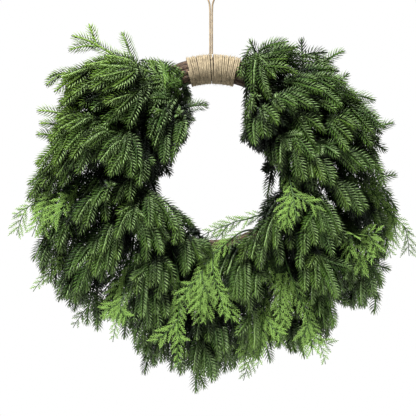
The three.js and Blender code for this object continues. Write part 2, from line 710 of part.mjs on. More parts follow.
function sprayMesh(spray, points, segments) {
  let turn = 0;
  let geometry = joinedShoots(spray, points, segments, turn);
  while (!isSound(geometry) && turn < 120) {
    turn += 9;
    geometry = joinedShoots(spray, points, segments, turn);
  }
  const color = spray.kind === 'pine' ? 0x3f6135 : 0x7fa24e;
  return named(`${spray.kind}_spray_${String(spray.place).padStart(2, '0')}`, geometry, color, 0.7);
}

function sprays() {
  const entry = (kind) => ([side, at, seat, ...tips], k) => ({ kind, side, at, seat, tips, place: k + 1 });
  const plan = [...PINE.map(entry('pine')), ...CEDAR.map(entry('cedar'))];
  const layout = plant(plan);
  relax(layout);
  const { points } = layout;
  const segments = [];
  for (const { lines, number } of layout.sprays) {
    for (const line of lines) {
      for (let k = 1; k < line.length; k += 1) {
        segments.push({ spray: number, a: points[line[k - 1]].place, b: points[line[k]].place });
      }
    }
  }
  return layout.sprays.map((spray, k) => sprayMesh({ ...spray, place: plan[k].place }, points, segments));
}

// ---------------------------------------------------------------- the whole wreath

const wreath = new THREE.Group();
wreath.add(hoop(), stemBundle(), bindingWire(), sleeve(), hangingLoop(), ...sprays());
wreath.position.set(-LOOP_X, 0, -LOOP_TOP);

const group = new THREE.Group();
group.add(wreath);

export default group;
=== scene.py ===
# A fresh evergreen wreath that hangs by a loop of twine. A steel hoop lies in the back of a bundle of
# woody stems, thin wire winds round the bundle and holds the roots of the pine and cedar sprays, and
# jute twine is wrapped round its top. Metres, +Z up, the front faces -Y, the origin is the inside top
# of the loop.
import math

import bmesh
import bpy
import numpy as np
from mathutils import Matrix, Vector, noise


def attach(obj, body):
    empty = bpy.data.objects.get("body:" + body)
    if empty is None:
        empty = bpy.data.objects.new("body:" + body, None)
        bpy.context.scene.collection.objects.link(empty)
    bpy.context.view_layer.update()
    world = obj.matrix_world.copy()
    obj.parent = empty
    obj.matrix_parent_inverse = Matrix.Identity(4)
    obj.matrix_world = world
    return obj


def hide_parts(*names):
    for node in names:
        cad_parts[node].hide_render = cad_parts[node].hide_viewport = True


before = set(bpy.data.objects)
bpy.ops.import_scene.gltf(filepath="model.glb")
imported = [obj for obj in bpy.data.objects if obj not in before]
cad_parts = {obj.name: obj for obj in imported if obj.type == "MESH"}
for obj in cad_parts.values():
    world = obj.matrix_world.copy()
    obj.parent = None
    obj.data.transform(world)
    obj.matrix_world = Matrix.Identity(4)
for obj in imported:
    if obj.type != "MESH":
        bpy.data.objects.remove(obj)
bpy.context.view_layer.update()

# ---------------------------------------------------------------- camera
# A long lens straight in front, level with the middle of the wreath, as in a catalogue picture.

PICTURE_WIDTH = 0.682  # metres across the picture in the plane of the front foliage
LENS = 135
SENSOR = 36
picture_middle = Vector((-0.0052, -0.05, -0.3599))
camera_data = bpy.data.cameras.new("camera")
camera_data.lens = LENS
camera_data.sensor_width = SENSOR
camera = bpy.data.objects.new("camera", camera_data)
camera.location = picture_middle - Vector((0, PICTURE_WIDTH * LENS / SENSOR, 0))
camera.rotation_euler = (math.radians(90), 0, 0)
bpy.context.scene.collection.objects.link(camera)
bpy.context.scene.camera = camera

# ---------------------------------------------------------------- hanging loop
# Two strands of jute twine that come up from the wrapping and turn over the hook, pulled taut by the
# wreath's weight. Twine is three plies of loosely spun fibre, twisted together.

TWINE = 3.0  # thickness in mm
TWIST = 11.0  # length of one turn of the plies
RING_MIDDLE = np.array((0.003, 0.0, -0.2804))  # middle of the hoop, in metres
LOOP_X = -3.0
LOOP_BEND = 7.4  # centreline radius of the turn over the hook
LOOP_BEND_Z = 274.5
FRONT_WAY = np.array((0.0, -1.0, 0.0))


def unit(vectors):
    return vectors / np.linalg.norm(vectors, axis=-1, keepdims=True)


def to_frame(places):
    """Millimetres from the middle of the hoop, as metres in the frame."""
    return np.asarray(places) * 0.001 + RING_MIDDLE


def smooth_line(points, step):
    """A smooth line through some points, with a point about every step."""
    p = np.asarray(points, float)
    p = np.concatenate(([2 * p[0] - p[1]], p, [2 * p[-1] - p[-2]]))
    parts = []
    for k in range(1, len(p) - 2):
        count = max(1, round(float(np.linalg.norm(p[k + 1] - p[k])) / step))
        t = np.arange(count)[:, None] / count
        a, b, c, d = p[k - 1], p[k], p[k + 1], p[k + 2]
        parts.append(0.5 * (2 * b + (c - a) * t + (2 * a - 5 * b + 4 * c - d) * t ** 2
                            + (3 * b - a - 3 * c + d) * t ** 3))
    return np.concatenate(parts + [p[-2:-1]])


def marks_of(line):
    """Distance of each point along a line."""
    return np.concatenate(([0.0], np.cumsum(np.linalg.norm(np.diff(line, axis=0), axis=1))))


def frames_of(line):
    """Direction, across and face of a line at each point. The face starts to the front."""
    along = unit(np.gradient(line, axis=0))
    face = np.zeros_like(along)
    last = FRONT_WAY
    for k, direction in enumerate(along):
        last = last - direction * (last @ direction)
        size = math.sqrt(last @ last)
        last = last / size if size > 1e-6 else np.array((1.0, 0.0, 0.0))
        face[k] = last
    return along, np.cross(face, along), face


def mesh_of(name, vertices, faces, uv, values=None):
    """A mesh from arrays of places and of faces with one number of corners each."""
    mesh = bpy.data.meshes.new(name)
    corners = np.concatenate([part.ravel() for part in faces]).astype(np.int32)
    sizes = np.concatenate([np.full(len(part), part.shape[1]) for part in faces])
    starts = np.concatenate(([0], np.cumsum(sizes)[:-1])).astype(np.int32)
    mesh.vertices.add(len(vertices))
    mesh.vertices.foreach_set("co", np.asarray(vertices, np.float32).ravel())
    mesh.loops.add(len(corners))
    mesh.loops.foreach_set("vertex_index", corners)
    mesh.polygons.add(len(sizes))
    mesh.polygons.foreach_set("loop_start", starts)
    mesh.update(calc_edges=True)
    layer = mesh.uv_layers.new(name="UVMap")
    layer.data.foreach_set("uv", np.asarray(uv, np.float32).ravel())
    for key, value in (values or {}).items():
        attribute = mesh.attributes.new(key, "FLOAT", "POINT")
        attribute.data.foreach_set("value", np.asarray(value, np.float32).ravel())
    return mesh


def tube_of(line, radii):
    """Places, sides and ends of a tube along a line. radii gives each ring's radius at each corner."""
    rings, corners = radii.shape
    _, across, face = frames_of(line)
    angle = 2 * np.pi * np.arange(corners) / corners
    out = across[:, None] * np.cos(angle)[None, :, None] + face[:, None] * np.sin(angle)[None, :, None]
    places = (line[:, None] + out * radii[..., None]).reshape(-1, 3)
    ring = np.arange(rings - 1)[:, None] * corners
    side = np.arange(corners)[None, :]
    after = (side + 1) % corners
    quads = np.stack((ring + corners + side, ring + corners + after, ring + after, ring + side), -1)
    ends = np.stack((side[0], side[0][::-1] + (rings - 1) * corners))
    return places, quads.reshape(-1, 4), ends


def swept(name, line, radii):
    """A closed tube. Its UV map runs once round it, and in millimetres along it."""
    places, quads, ends = tube_of(line, radii)
    rings, corners = radii.shape
    u = np.broadcast_to(np.arange(corners) / corners, (rings - 1, corners))
    marks = marks_of(line)[:, None]
    v = np.broadcast_to(marks[:-1], u.shape)
    ahead = np.broadcast_to(marks[1:], u.shape)
    step = 1 / corners
    uv = np.stack((np.stack((u, ahead), -1), np.stack((u + step, ahead), -1),
                   np.stack((u + step, v), -1), np.stack((u, v), -1)), 2).reshape(-1, 2)
    uv = np.concatenate((uv, np.zeros((2 * corners, 2))))
    return mesh_of(name, to_frame(places), [quads, ends], uv)


def plied(line, radius, corners, twist):
    """Radii of a strand of three twisted plies, at each corner of each ring of a line."""
    turn = 2 * np.pi * marks_of(line)[:, None] / twist
    angle = 2 * np.pi * np.arange(corners)[None, :] / corners
    lobe = np.abs(np.cos(3 / 2 * (angle - turn)))
    return radius * (0.84 + 0.16 * lobe ** 0.7)


def show(name, mesh, material, slot, *nodes):
    """Puts a piece in the scene, with its material and the nodes it stands for. Its slot is not used."""
    piece = bpy.data.objects.new(name, mesh)
    bpy.context.scene.collection.objects.link(piece)
    mesh.materials.append(material)
    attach(piece, "root")
    if nodes:
        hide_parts(*nodes)
    return piece


def add(tree, kind, inputs=None, **settings):
    """A shader node with its settings, and with each input set to a value or linked to an output."""
    made = tree.nodes.new(kind)
    for key, value in settings.items():
        setattr(made, key, value)
    for key, value in (inputs or {}).items():
        if isinstance(value, bpy.types.NodeSocket):
            tree.links.new(value, made.inputs[key])
        else:
            made.inputs[key].default_value = value
    return made


def grain(tree, place, scale, detail, **more):
    """Noise over some places, from 0 to 1."""
    inputs = {"Vector": place, "Scale": scale, "Detail": detail, **more}
    return add(tree, "ShaderNodeTexNoise", inputs).outputs[0]


def ranged(tree, value, low, high, to_low=0.0, to_high=1.0):
    """A value between low and high, moved to lie between two others."""
    inputs = {0: value, 1: low, 2: high, 3: to_low, 4: to_high}
    return add(tree, "ShaderNodeMapRange", inputs).outputs[0]


def maths(tree, operation, first, second, **settings):
    inputs = {0: first, 1: second}
    return add(tree, "ShaderNodeMath", inputs, operation=operation, **settings).outputs[0]


def tint(tree, share, first, second):
    """One colour turned into another by a share."""
    return add(tree, "ShaderNodeMix", {0: share, 6: first, 7: second}, data_type="RGBA").outputs[2]


def effect(name, inputs):
    """A node group with the given inputs, and the outputs that every finish here has."""
    group = bpy.data.node_groups.new(name, "ShaderNodeTree")
    for key, value in inputs.items():
        kind = "Color" if isinstance(value, tuple) else "Float"
        socket = group.interface.new_socket(key, in_out="INPUT", socket_type=f"NodeSocket{kind}")
        socket.default_value = value
    for key, kind in (("Colour", "Color"), ("Roughness", "Float"), ("Height", "Float")):
        group.interface.new_socket(key, in_out="OUTPUT", socket_type=f"NodeSocket{kind}")
    return group, group.nodes.new("NodeGroupInput").outputs, add(group, "ShaderNodeTexCoord").outputs


def put_out(group, colour, roughness, height):
    add(group, "NodeGroupOutput", {"Colour": colour, "Roughness": roughness, "Height": height})


def finish_of(name, group, inputs, bump, distance, specular=0.5):
    """A material whose colour, roughness and bump come from an effect, with its own values."""
    material = bpy.data.materials.new(name)
    material.use_nodes = True
    tree = material.node_tree
    surface = tree.nodes["Principled BSDF"]
    surface.inputs["Specular IOR Level"].default_value = specular
    source = add(tree, "ShaderNodeGroup", inputs, node_tree=group).outputs
    relief = add(tree, "ShaderNodeBump",
                 {"Height": source["Height"], "Strength": bump, "Distance": distance})
    tree.links.new(source["Colour"], surface.inputs["Base Color"])
    tree.links.new(source["Roughness"], surface.inputs["Roughness"])
    tree.links.new(relief.outputs["Normal"], surface.inputs["Normal"])
    return material


# Spun fibre: fine pale and dark streaks that run round the strand with the plies.
spun_fibre, given, where = effect(
    "spun_fibre", {"Pale": (0.42, 0.34, 0.215, 1), "Dark": (0.05, 0.036, 0.018, 1), "Slope": 0.7})
strand = add(spun_fibre, "ShaderNodeSeparateXYZ", {"Vector": where["UV"]}).outputs
lean = maths(spun_fibre, "MULTIPLY", strand["Y"], given["Slope"])
around = maths(spun_fibre, "MULTIPLY", strand["X"], 9.4)  # mm round the twine
slid = maths(spun_fibre, "ADD", around, lean)
laid = add(spun_fibre, "ShaderNodeCombineXYZ", {"X": slid, "Y": strand["Y"]}).outputs[0]
streak = add(spun_fibre, "ShaderNodeMapping", {"Vector": laid, "Scale": (2.6, 0.22, 1)}).outputs[0]
fine = grain(spun_fibre, streak, 2.4, 5)
patch = grain(spun_fibre, where["Object"], 130, 3)
both = add(spun_fibre, "ShaderNodeMix", {0: 0.35, 2: fine, 3: patch}).outputs[0]
colour = tint(spun_fibre, ranged(spun_fibre, both, 0.3, 0.62), given["Dark"], given["Pale"])
put_out(spun_fibre, colour, ranged(spun_fibre, patch, 0, 1, 0.82, 0.98), fine)

loop_jute = finish_of("loop_jute", spun_fibre,
                      {"Pale": (0.42, 0.32, 0.19, 1), "Dark": (0.08, 0.05, 0.025, 1)},
                      bump=0.7, distance=0.0003)

# Each strand's distance from the middle of the loop, and its height: straight up, then apart.
strand_half = (TWINE + 0.4) / 2
loop_side = [(strand_half, z) for z in (177.9, 190, 204, 218, 232, 244)]
loop_side += [(strand_half + 0.2, 253), (2.5, 261), (4.7, 268)]
loop_points = [(LOOP_X - half, 0, z) for half, z in loop_side]
for angle in (180, 135, 90, 45, 0):
    over = math.radians(angle)
    loop_points.append((LOOP_X + LOOP_BEND * math.cos(over), 0,
                        LOOP_BEND_Z + LOOP_BEND * math.sin(over)))
loop_points += [(LOOP_X + half, 0, z) for half, z in reversed(loop_side)]
loop_line = smooth_line(loop_points, 0.8)
loop_mesh = swept("hanging_twine", loop_line, plied(loop_line, TWINE / 2, 14, TWIST))
hanging_twine = show("hanging_twine", loop_mesh, loop_jute, "jute_twine", "hanging_loop")

# ---------------------------------------------------------------- wire hoop
# The ring of drawn steel wire that keeps the wreath round, dipped in dark green lacquer. It lies in
# a groove in the back of the stems.

RING_RADIUS = 152.5
HOOP_WIRE = 4.0
HOOP_BACK = 18.0

# Lacquer on wire: an even coat that is thin and scratched where it rubs.
lacquer, given, where = effect(
    "lacquer", {"Coat": (0.03, 0.06, 0.03, 1), "Steel": (0.3, 0.29, 0.27, 1), "Wear": 0.68})
scratch = grain(lacquer, where["Object"], 420, 6)
colour = tint(lacquer, ranged(lacquer, scratch, given["Wear"], 0.78), given["Coat"], given["Steel"])
put_out(lacquer, colour, ranged(lacquer, scratch, 0, 1, 0.25, 0.55), scratch)


def spun_mesh(form, name):
    """A smooth mesh from a form that was spun round: doubles merged and faces turned outwards."""
    bmesh.ops.remove_doubles(form, verts=form.verts, dist=1e-6)
    bmesh.ops.recalc_face_normals(form, faces=form.faces)
    mesh = bpy.data.meshes.new(name)
    form.to_mesh(mesh)
    form.free()
    mesh.shade_smooth()
    return mesh


hoop_steel = finish_of("hoop_lacquer", lacquer, {}, bump=0.2, distance=0.0001)
form = bmesh.new()
section = bmesh.ops.create_circle(form, segments=12, radius=HOOP_WIRE / 2000)["verts"]
bmesh.ops.translate(form, vec=(RING_RADIUS / 1000, 0, 0), verts=section)
bmesh.ops.spin(form, geom=form.verts[:] + form.edges[:], cent=(0, 0, 0), axis=(0, 1, 0),
               angle=2 * math.pi, steps=180, use_merge=True)
bmesh.ops.translate(form, vec=Vector(to_frame((0, HOOP_BACK, 0))), verts=form.verts)
show("hoop_wire", spun_mesh(form, "hoop_wire"), hoop_steel, "hoop_steel", "wire_hoop")

# ---------------------------------------------------------------- stem bundle
# The cut woody stems that run round the hoop side by side, rough brown bark with small knots. The
# place between two of them at the back holds the hoop.

BUNDLE_RADIUS = 15.0  # middle of each outer stem, from the middle of the bundle
BUNDLE_STEM = 5.1
BUNDLE_HEART = 11.5
STEM_PLACES = 12
HOOP_PLACE = 3  # the place at the back

bark_look, given, where = effect(
    "bark_look", {"Pale": (0.13, 0.075, 0.04, 1), "Dark": (0.012, 0.008, 0.006, 1)})
plates = add(bark_look, "ShaderNodeTexVoronoi", {"Vector": where["Object"], "Scale": 260},
             feature="DISTANCE_TO_EDGE").outputs[0]
crack = grain(bark_look, where["Object"], 190, 7, Roughness=0.7)
height = maths(bark_look, "MULTIPLY", ranged(bark_look, plates, 0.0, 0.12), crack)
colour = tint(bark_look, ranged(bark_look, height, 0.15, 0.7), given["Dark"], given["Pale"])
put_out(bark_look, colour, ranged(bark_look, crack, 0, 1, 0.75, 0.95), height)
bark = finish_of("bark", bark_look, {}, bump=0.9, distance=0.0008)

form = bmesh.new()
for stem in range(STEM_PLACES + 1):
    # the last one is the heart of the bundle, which the others hide
    angle = 2 * math.pi * stem / STEM_PLACES
    reach, thick = (BUNDLE_RADIUS, BUNDLE_STEM) if stem < STEM_PLACES else (0.0, BUNDLE_HEART)
    if stem == HOOP_PLACE:
        continue
    start = len(form.verts)
    ring = bmesh.ops.create_circle(form, segments=12, radius=thick / 1000)["verts"]
    middle = ((RING_RADIUS + reach * math.cos(angle)) / 1000, reach * math.sin(angle) / 1000, 0)
    bmesh.ops.rotate(form, cent=(0, 0, 0), matrix=Matrix.Rotation(0.3 * stem, 3, "Z"), verts=ring)
    bmesh.ops.translate(form, vec=middle, verts=ring)
    edges = [edge for edge in form.edges if edge.verts[0] in ring]
    bmesh.ops.spin(form, geom=ring + edges, cent=(0, 0, 0), axis=(0, 1, 0),
                   angle=2 * math.pi, steps=150, use_merge=True)
    form.verts.ensure_lookup_table()
    for vert in form.verts[start:]:
        round_ring = math.atan2(vert.co.x, vert.co.z)
        outward = Vector((math.sin(round_ring), 0, math.cos(round_ring)))
        knot = noise.noise(Vector((7 * round_ring + 3.1 * stem, stem * 1.7, 0.3)))
        rough = noise.noise(vert.co * 320 + Vector((stem, 0, 0)))
        centre = (outward * RING_RADIUS / 1000 + outward * (reach * math.cos(angle) / 1000)
                  + Vector((0, reach * math.sin(angle) / 1000, 0)))
        vert.co = centre + (vert.co - centre) * (1 + 0.05 * knot + 0.05 * rough)
bmesh.ops.translate(form, vec=Vector(RING_MIDDLE), verts=form.verts)
show("woody_stems", spun_mesh(form, "woody_stems"), bark, "bark", "stem_bundle")

# ---------------------------------------------------------------- binding wire
# One thin lacquered wire, wound round the bundle from one end of the wrapping to the other. Each
# turn holds down the roots of the sprays that it passes over.

WIRE_LIFT = 23.2  # middle of the wire, from the middle of the bundle
WIRE_THICK = 1.2
WIRE_START = 19.5
WIRE_TURNS = 16.5
WIRE_PITCH = (360 - 2 * WIRE_START) / WIRE_TURNS


def ring_places(clock, seat, lift):
    """Places round the ring: degrees down from its top, degrees round the bundle, and how far out."""
    clock, seat = np.radians(clock), np.radians(seat)
    across = RING_RADIUS + lift * np.cos(seat)
    return np.stack(np.broadcast_arrays(across * np.sin(clock), -lift * np.sin(seat),
                                        across * np.cos(clock)), -1)


wire_green = finish_of("wire_lacquer", lacquer, {"Coat": (0.035, 0.075, 0.035, 1)},
                       bump=0.2, distance=0.0001)
turn = np.linspace(0, WIRE_TURNS, int(WIRE_TURNS * 48) + 1)
wire_line = ring_places(WIRE_START + turn * WIRE_PITCH, 360 * turn, WIRE_LIFT)
wire_mesh = swept("florist_wire", wire_line, np.full((len(turn), 8), WIRE_THICK / 2))
wire_mesh.shade_smooth()
show("florist_wire", wire_mesh, wire_green, "binding_steel", "binding_wire")

# ---------------------------------------------------------------- jute sleeve
# Jute twine wound close round the top of the bundle, turn beside turn. The twine is the same three
# plies as the loop's, and loose fibres stand out of it.

SLEEVE_LENGTH = 82.0  # between the middles of the first and last turns
SLEEVE_TURNS = 27
SLEEVE_LIFT = 23.4  # middle of the twine, from the middle of the bundle
LOOP_AT = 0.475  # share of the turns that lie before the loop
SLEEVE_TWIST = 9.0  # length of one turn of the plies
FIBRES = 900
LOOP_FIBRES = 160

jute = finish_of("jute", spun_fibre, {}, bump=0.8, distance=0.0004)
draw = np.random.default_rng(11)
turn = np.linspace(0, SLEEVE_TURNS, SLEEVE_TURNS * 118)
share = turn / SLEEVE_TURNS
waver = 0.35 * np.sin(2 * np.pi * turn * 1.13 + 3) + 0.3 * np.sin(2 * np.pi * turn * 0.37)
parting = 1.1 * np.tanh((share - LOOP_AT) * 60)  # the turns stand apart where the loop comes out
place = (share - 0.5) * SLEEVE_LENGTH + waver + parting * np.exp(-((share - LOOP_AT) / 0.12) ** 2)
seat = 360 * turn + 90
bump_up = 1.4 * np.exp(-((share - LOOP_AT) / 0.035) ** 2) * np.clip(np.cos(np.radians(seat)), 0, 1) ** 4
ends = np.clip(np.minimum(turn, SLEEVE_TURNS - turn) / 0.12, 0, 1)
lift = SLEEVE_LIFT - 1.8 * (1 - ends) + 0.25 * np.sin(2 * np.pi * turn * 0.61) + bump_up
wound = ring_places(np.degrees(place / RING_RADIUS), seat, lift)
wound_mesh = swept("wound_twine", wound, plied(wound, TWINE / 2 + 0.12, 10, SLEEVE_TWIST))
show("wound_twine", wound_mesh, jute, "jute_twine", "jute_sleeve")


def hairs(name, roots, leave, lengths, thick):
    """Short bent fibres, each a three-sided spike from its root along its own direction."""
    count = len(roots)
    bend = unit(draw.normal(size=(count, 3)))
    side = unit(np.cross(leave, bend))
    other = np.cross(leave, side)
    rows = []
    for part, width in ((0.0, 1.0), (0.5, 0.7)):
        middle = roots + leave * (lengths * part)[:, None] + bend * (lengths * 0.5 * part ** 2)[:, None]
        for k in range(3):
            angle = 2 * math.pi * k / 3
            rows.append(middle + (side * math.cos(angle) + other * math.sin(angle)) * thick * width)
    rows.append(roots + leave * lengths[:, None] * 0.85 + bend * lengths[:, None] * 0.5)
    places = np.stack(rows, 1).reshape(-1, 3)
    one = np.array([(0, 1, 4), (0, 4, 3), (1, 2, 5), (1, 5, 4), (2, 0, 3), (2, 3, 5),
                    (3, 4, 6), (4, 5, 6), (5, 3, 6), (0, 2, 1)])
    faces = (np.arange(count)[:, None, None] * 7 + one).reshape(-1, 3)
    return mesh_of(name, to_frame(places), [faces], np.full((faces.size, 2), 0.3))


picked = draw.integers(0, len(wound) - 1, FIBRES)
along, across, out = frames_of(wound)
round_strand = draw.uniform(0, 2 * np.pi, FIBRES)
sway = across[picked] * np.cos(round_strand)[:, None] + out[picked] * np.sin(round_strand)[:, None]
bundle_out = wound[picked] - ring_places(np.degrees(place[picked] / RING_RADIUS), 0, 0)
outward = unit(unit(bundle_out) + 0.6 * sway + 0.8 * along[picked] * draw.normal(size=(FIBRES, 1)))
sleeve_fuzz = hairs("sleeve_fibres", wound[picked] + unit(bundle_out) * 1.2, outward,
                    draw.uniform(2.0, 6.5, FIBRES), 0.09)
show("sleeve_fibres", sleeve_fuzz, jute, "jute_twine")
picked = draw.integers(0, len(loop_line) - 1, LOOP_FIBRES)
outward = unit(draw.normal(size=(LOOP_FIBRES, 3)) * (1, 1, 0.6))
loop_fuzz = hairs("loop_fibres", loop_line[picked] + outward, outward,
                  draw.uniform(1.5, 4.5, LOOP_FIBRES), 0.08)
show("loop_fibres", loop_fuzz, loop_jute, "jute_twine")

# ---------------------------------------------------------------- where the sprays lie
# Each spray's root lies along the bundle under a turn of the wire. Its stem leaves there, flows
# down and outwards, and forks. The sprays rest against each other without crossing.

LEFT, RIGHT = -1, 1
# Seats round the bundle, in degrees from its outer side towards its front.
OUTER_BACK, OUTER, OUTER_FRONT, FRONT, INNER_FRONT, INNER = -40, 0, 40, 90, 140, 180
LINK = 12.0  # between two points of a stem
ROOT_LIFT = 20.1  # middle of a root, from the middle of the bundle
ROOT_STEP = 10.0
FORK_ANGLE = 42  # degrees
SHOOT_LENGTH = 75
COVER = {"pine": 112.0, "cedar": 150.0}  # how much of a stem has leaves, from its tip
ROOM = {"pine": 9.5, "cedar": 11.0}  # kept free round a leafy stem
BARE_ROOM = 2.6
HOLE = {"x": -1.0, "z": -8.0, "wide": 36.0, "high": 84.0}
BUNDLE_ROOM = 25.8
LOOP_ROOM = 9.0
DEPTH_BACK, DEPTH_FRONT = 34.0, -116.0
EASE = np.array((0.35, 1.0, 0.35))  # stems give way to the front and back rather than sideways
RELAX_STEPS = 240
NEIGHBOUR = 64  # points further apart than this never meet

# Side, root in degrees down from the top, seat, then the tip of each shoot in mm from the hoop's
# middle. The first tip is the stem's own.
PINE = [
    (LEFT, 22, OUTER, (-236, -10, 207), (-208, 5, 229), (-239, -30, 181), (-154, 10, 216)),
    (LEFT, 32, OUTER, (-270, -20, 140), (-275, -40, 122)),
    (LEFT, 44, OUTER, (-293, -30, -9), (-295, -10, 42), (-290, -45, 80), (-289, -20, 60)),
    (LEFT, 38, FRONT, (-234, -80, 32), (-248, -55, 78)),
    (LEFT, 28, FRONT, (-189, -80, 106), (-150, -70, 130), (-177, -50, 166)),
    (LEFT, 42, FRONT, (-177, -92, 16), (-194, -80, 48), (-149, -88, 62), (-126, -75, 29)),
    (LEFT, 23, FRONT, (-79, -60, 57), (-95, -72, 75), (-103, -62, 98)),
    (LEFT, 20, INNER_FRONT, (-31, -45, 62), (-52, -62, 73), (-7, -50, 88)),
    (LEFT, 34, INNER, (-70, -20, -27), (-62, -15, 14), (-46, -30, 29)),
    (LEFT, 52, FRONT, (-139, -88, -30), (-95, -75, -9)),
    (LEFT, 68, OUTER, (-308, -15, -42), (-282, -35, -22)),
    (LEFT, 74, FRONT, (-194, -92, -78), (-164, -96, -45), (-214, -66, -101), (-174, -70, -103)),
    (LEFT, 98, FRONT, (-226, -75, -181), (-194, -88, -157)),
    (LEFT, 92, OUTER_BACK, (-274, 10, -165), (-262, 0, -118)),
    (LEFT, 88, INNER_FRONT, (-133, -98, -116), (-156, -88, -91), (-112, -95, -96), (-79, -65, -86)),
    (LEFT, 120, INNER_FRONT, (-34, -50, -164), (-44, -22, -108), (-46, -38, -124)),
    (LEFT, 122, FRONT, (-115, -88, -258), (-131, -98, -198), (-67, -88, -178)),
    (LEFT, 112, OUTER, (-208, -45, -255), (-256, -5, -209), (-226, -30, -228), (-194, 15, -288)),
    (LEFT, 146, OUTER, (-115, 5, -360), (-97, -12, -345), (-131, -8, -314)),
    (LEFT, 164, OUTER, (-28, -20, -388), (-13, -38, -378), (-61, 10, -352)),
    (RIGHT, 22, OUTER_FRONT, (61, -25, 201), (49, -52, 155)),
    (RIGHT, 28, OUTER, (221, -5, 183), (149, 8, 207)),
    (RIGHT, 36, OUTER, (271, -15, 98), (233, -35, 111), (228, -10, 145)),
    (RIGHT, 28, FRONT, (203, -60, 130), (198, -80, 112)),
    (RIGHT, 24, FRONT, (89, -65, 32), (67, -78, 103), (80, -85, 78), (105, -82, 98)),
    (RIGHT, 28, OUTER_FRONT, (143, -82, 62), (134, -60, 105)),
    (RIGHT, 22, INNER_FRONT, (49, -40, 27), (62, -55, 60)),
    (RIGHT, 42, FRONT, (123, -88, 12), (143, -94, 37)),
    (RIGHT, 36, INNER, (90, -25, -63), (84, -40, -20)),
    (RIGHT, 44, OUTER_FRONT, (203, -88, 57), (228, -60, 76)),
    (RIGHT, 52, OUTER, (290, -15, 14), (303, -10, 62), (274, -42, 30)),
    (RIGHT, 60, FRONT, (203, -92, 2), (172, -92, 4), (216, -75, 29), (233, -60, -8)),
    (RIGHT, 74, OUTER, (300, 0, -60), (307, -15, -25)),
    (RIGHT, 104, FRONT, (200, -92, -227), (154, -88, -178), (226, -78, -180)),
    (RIGHT, 98, OUTER, (280, 10, -235), (298, 0, -184), (271, 20, -260)),
    (RIGHT, 122, OUTER_FRONT, (200, -25, -273), (226, -42, -239)),
    (RIGHT, 112, INNER_FRONT, (59, -72, -214), (84, -88, -200)),
    (RIGHT, 88, FRONT, (178, -98, -120), (146, -94, -116)),
    (RIGHT, 100, INNER, (74, -30, -119), (98, -48, -104)),
    (RIGHT, 148, FRONT, (67, -78, -311), (38, -84, -288)),
    (RIGHT, 166, OUTER, (31, -12, -352), (9, -28, -348)),
    (RIGHT, 148, OUTER_BACK, (97, 10, -340), (116, 0, -307), (165, -5, -275)),
]
CEDAR = [
    (LEFT, 74, OUTER_FRONT, (-331, -30, -95), (-326, -20, -125), (-290, -48, -108), (-250, -62, -94)),
    (LEFT, 100, OUTER, (-300, -5, -219), (-276, 8, -206)),
    (LEFT, 108, OUTER_FRONT, (-162, -88, -296), (-180, -80, -250), (-138, -92, -262)),
    (LEFT, 116, OUTER_BACK, (-235, 15, -281), (-222, 5, -262)),
    (LEFT, 148, FRONT, (-56, -88, -339), (-95, -82, -300), (-48, -94, -296)),
    (RIGHT, 86, OUTER, (333, 0, -125), (330, 15, -160), (306, -10, -132)),
    (RIGHT, 78, OUTER_FRONT, (262, -78, -170), (228, -94, -127), (274, -70, -120)),
    (RIGHT, 74, FRONT, (134, -98, -99), (158, -94, -75)),
    (RIGHT, 116, INNER, (-21, -28, -127), (8, -32, -140)),
    (RIGHT, 134, INNER_FRONT, (-41, -88, -214), (-5, -92, -230), (20, -86, -258)),
    (RIGHT, 144, FRONT, (72, -78, -340), (112, -82, -292), (51, -8, -367)),
    (RIGHT, 130, OUTER_FRONT, (184, -58, -335), (141, -62, -301), (197, -45, -306)),
]


def length_of(vector):
    return math.sqrt(float(vector @ vector))


def outward_at(clock, seat):
    clock, seat = math.radians(clock), math.radians(seat)
    return np.array((math.cos(seat) * math.sin(clock), -math.sin(seat),
                     math.cos(seat) * math.cos(clock)))


def wire_seats():
    """Every place where a turn of the wire can hold a root, in order along the wire."""
    seats = []
    for turn in range(math.ceil(WIRE_TURNS)):
        for seat in (-30, 30, 90, 150, 210):
            clock = WIRE_START + (turn + seat / 360) * WIRE_PITCH
            if WIRE_START < clock < 360 - WIRE_START:
                seats.append((clock, seat))
    return seats


def take_seat(seats, side, at, seat):
    """Takes the free place nearest to where a root is wanted."""
    clock = at if side > 0 else 360 - at
    own = [place for place in seats if (place[0] <= 180) == (side > 0)]
    nearest = min(own, key=lambda place: math.hypot((place[0] - clock) * 2.7, (place[1] - seat) * 0.6))
    seats.remove(nearest)
    return nearest


def curve(start, near, far, end, t):
    """Places at t on a bent line, which leaves its start towards near and comes to its end from far."""
    s = 1 - t
    return start * s ** 3 + near * 3 * s * s * t + far * 3 * s * t * t + end * t ** 3


def reach_to(start, leave, tip):
    """Points of a stem from one place and direction to a tip, with a slight droop."""
    chord = tip - start
    reach = length_of(chord)
    settle = unit(unit(chord) + np.array((0, 0, -0.25)))
    count = max(3, math.ceil(reach * 1.05 / LINK))
    t = np.arange(1, count + 1)[:, None] / count
    return list(curve(start, start + leave * reach * 0.35, tip - settle * reach * 0.3, tip, t))


def fork_index(stem, tip):
    """The point of a stem from which a shoot to this tip forks nearest to FORK_ANGLE."""
    best, least = 4, math.inf
    for k in range(4, len(stem) - 2):
        chord = tip - stem[k]
        angle = math.degrees(math.acos(unit(stem[k + 1] - stem[k - 1]) @ unit(chord)))
        miss = abs(angle - FORK_ANGLE) + abs(length_of(chord) - SHOOT_LENGTH) * 0.3
        if miss < least:
            best, least = k, miss
    return best


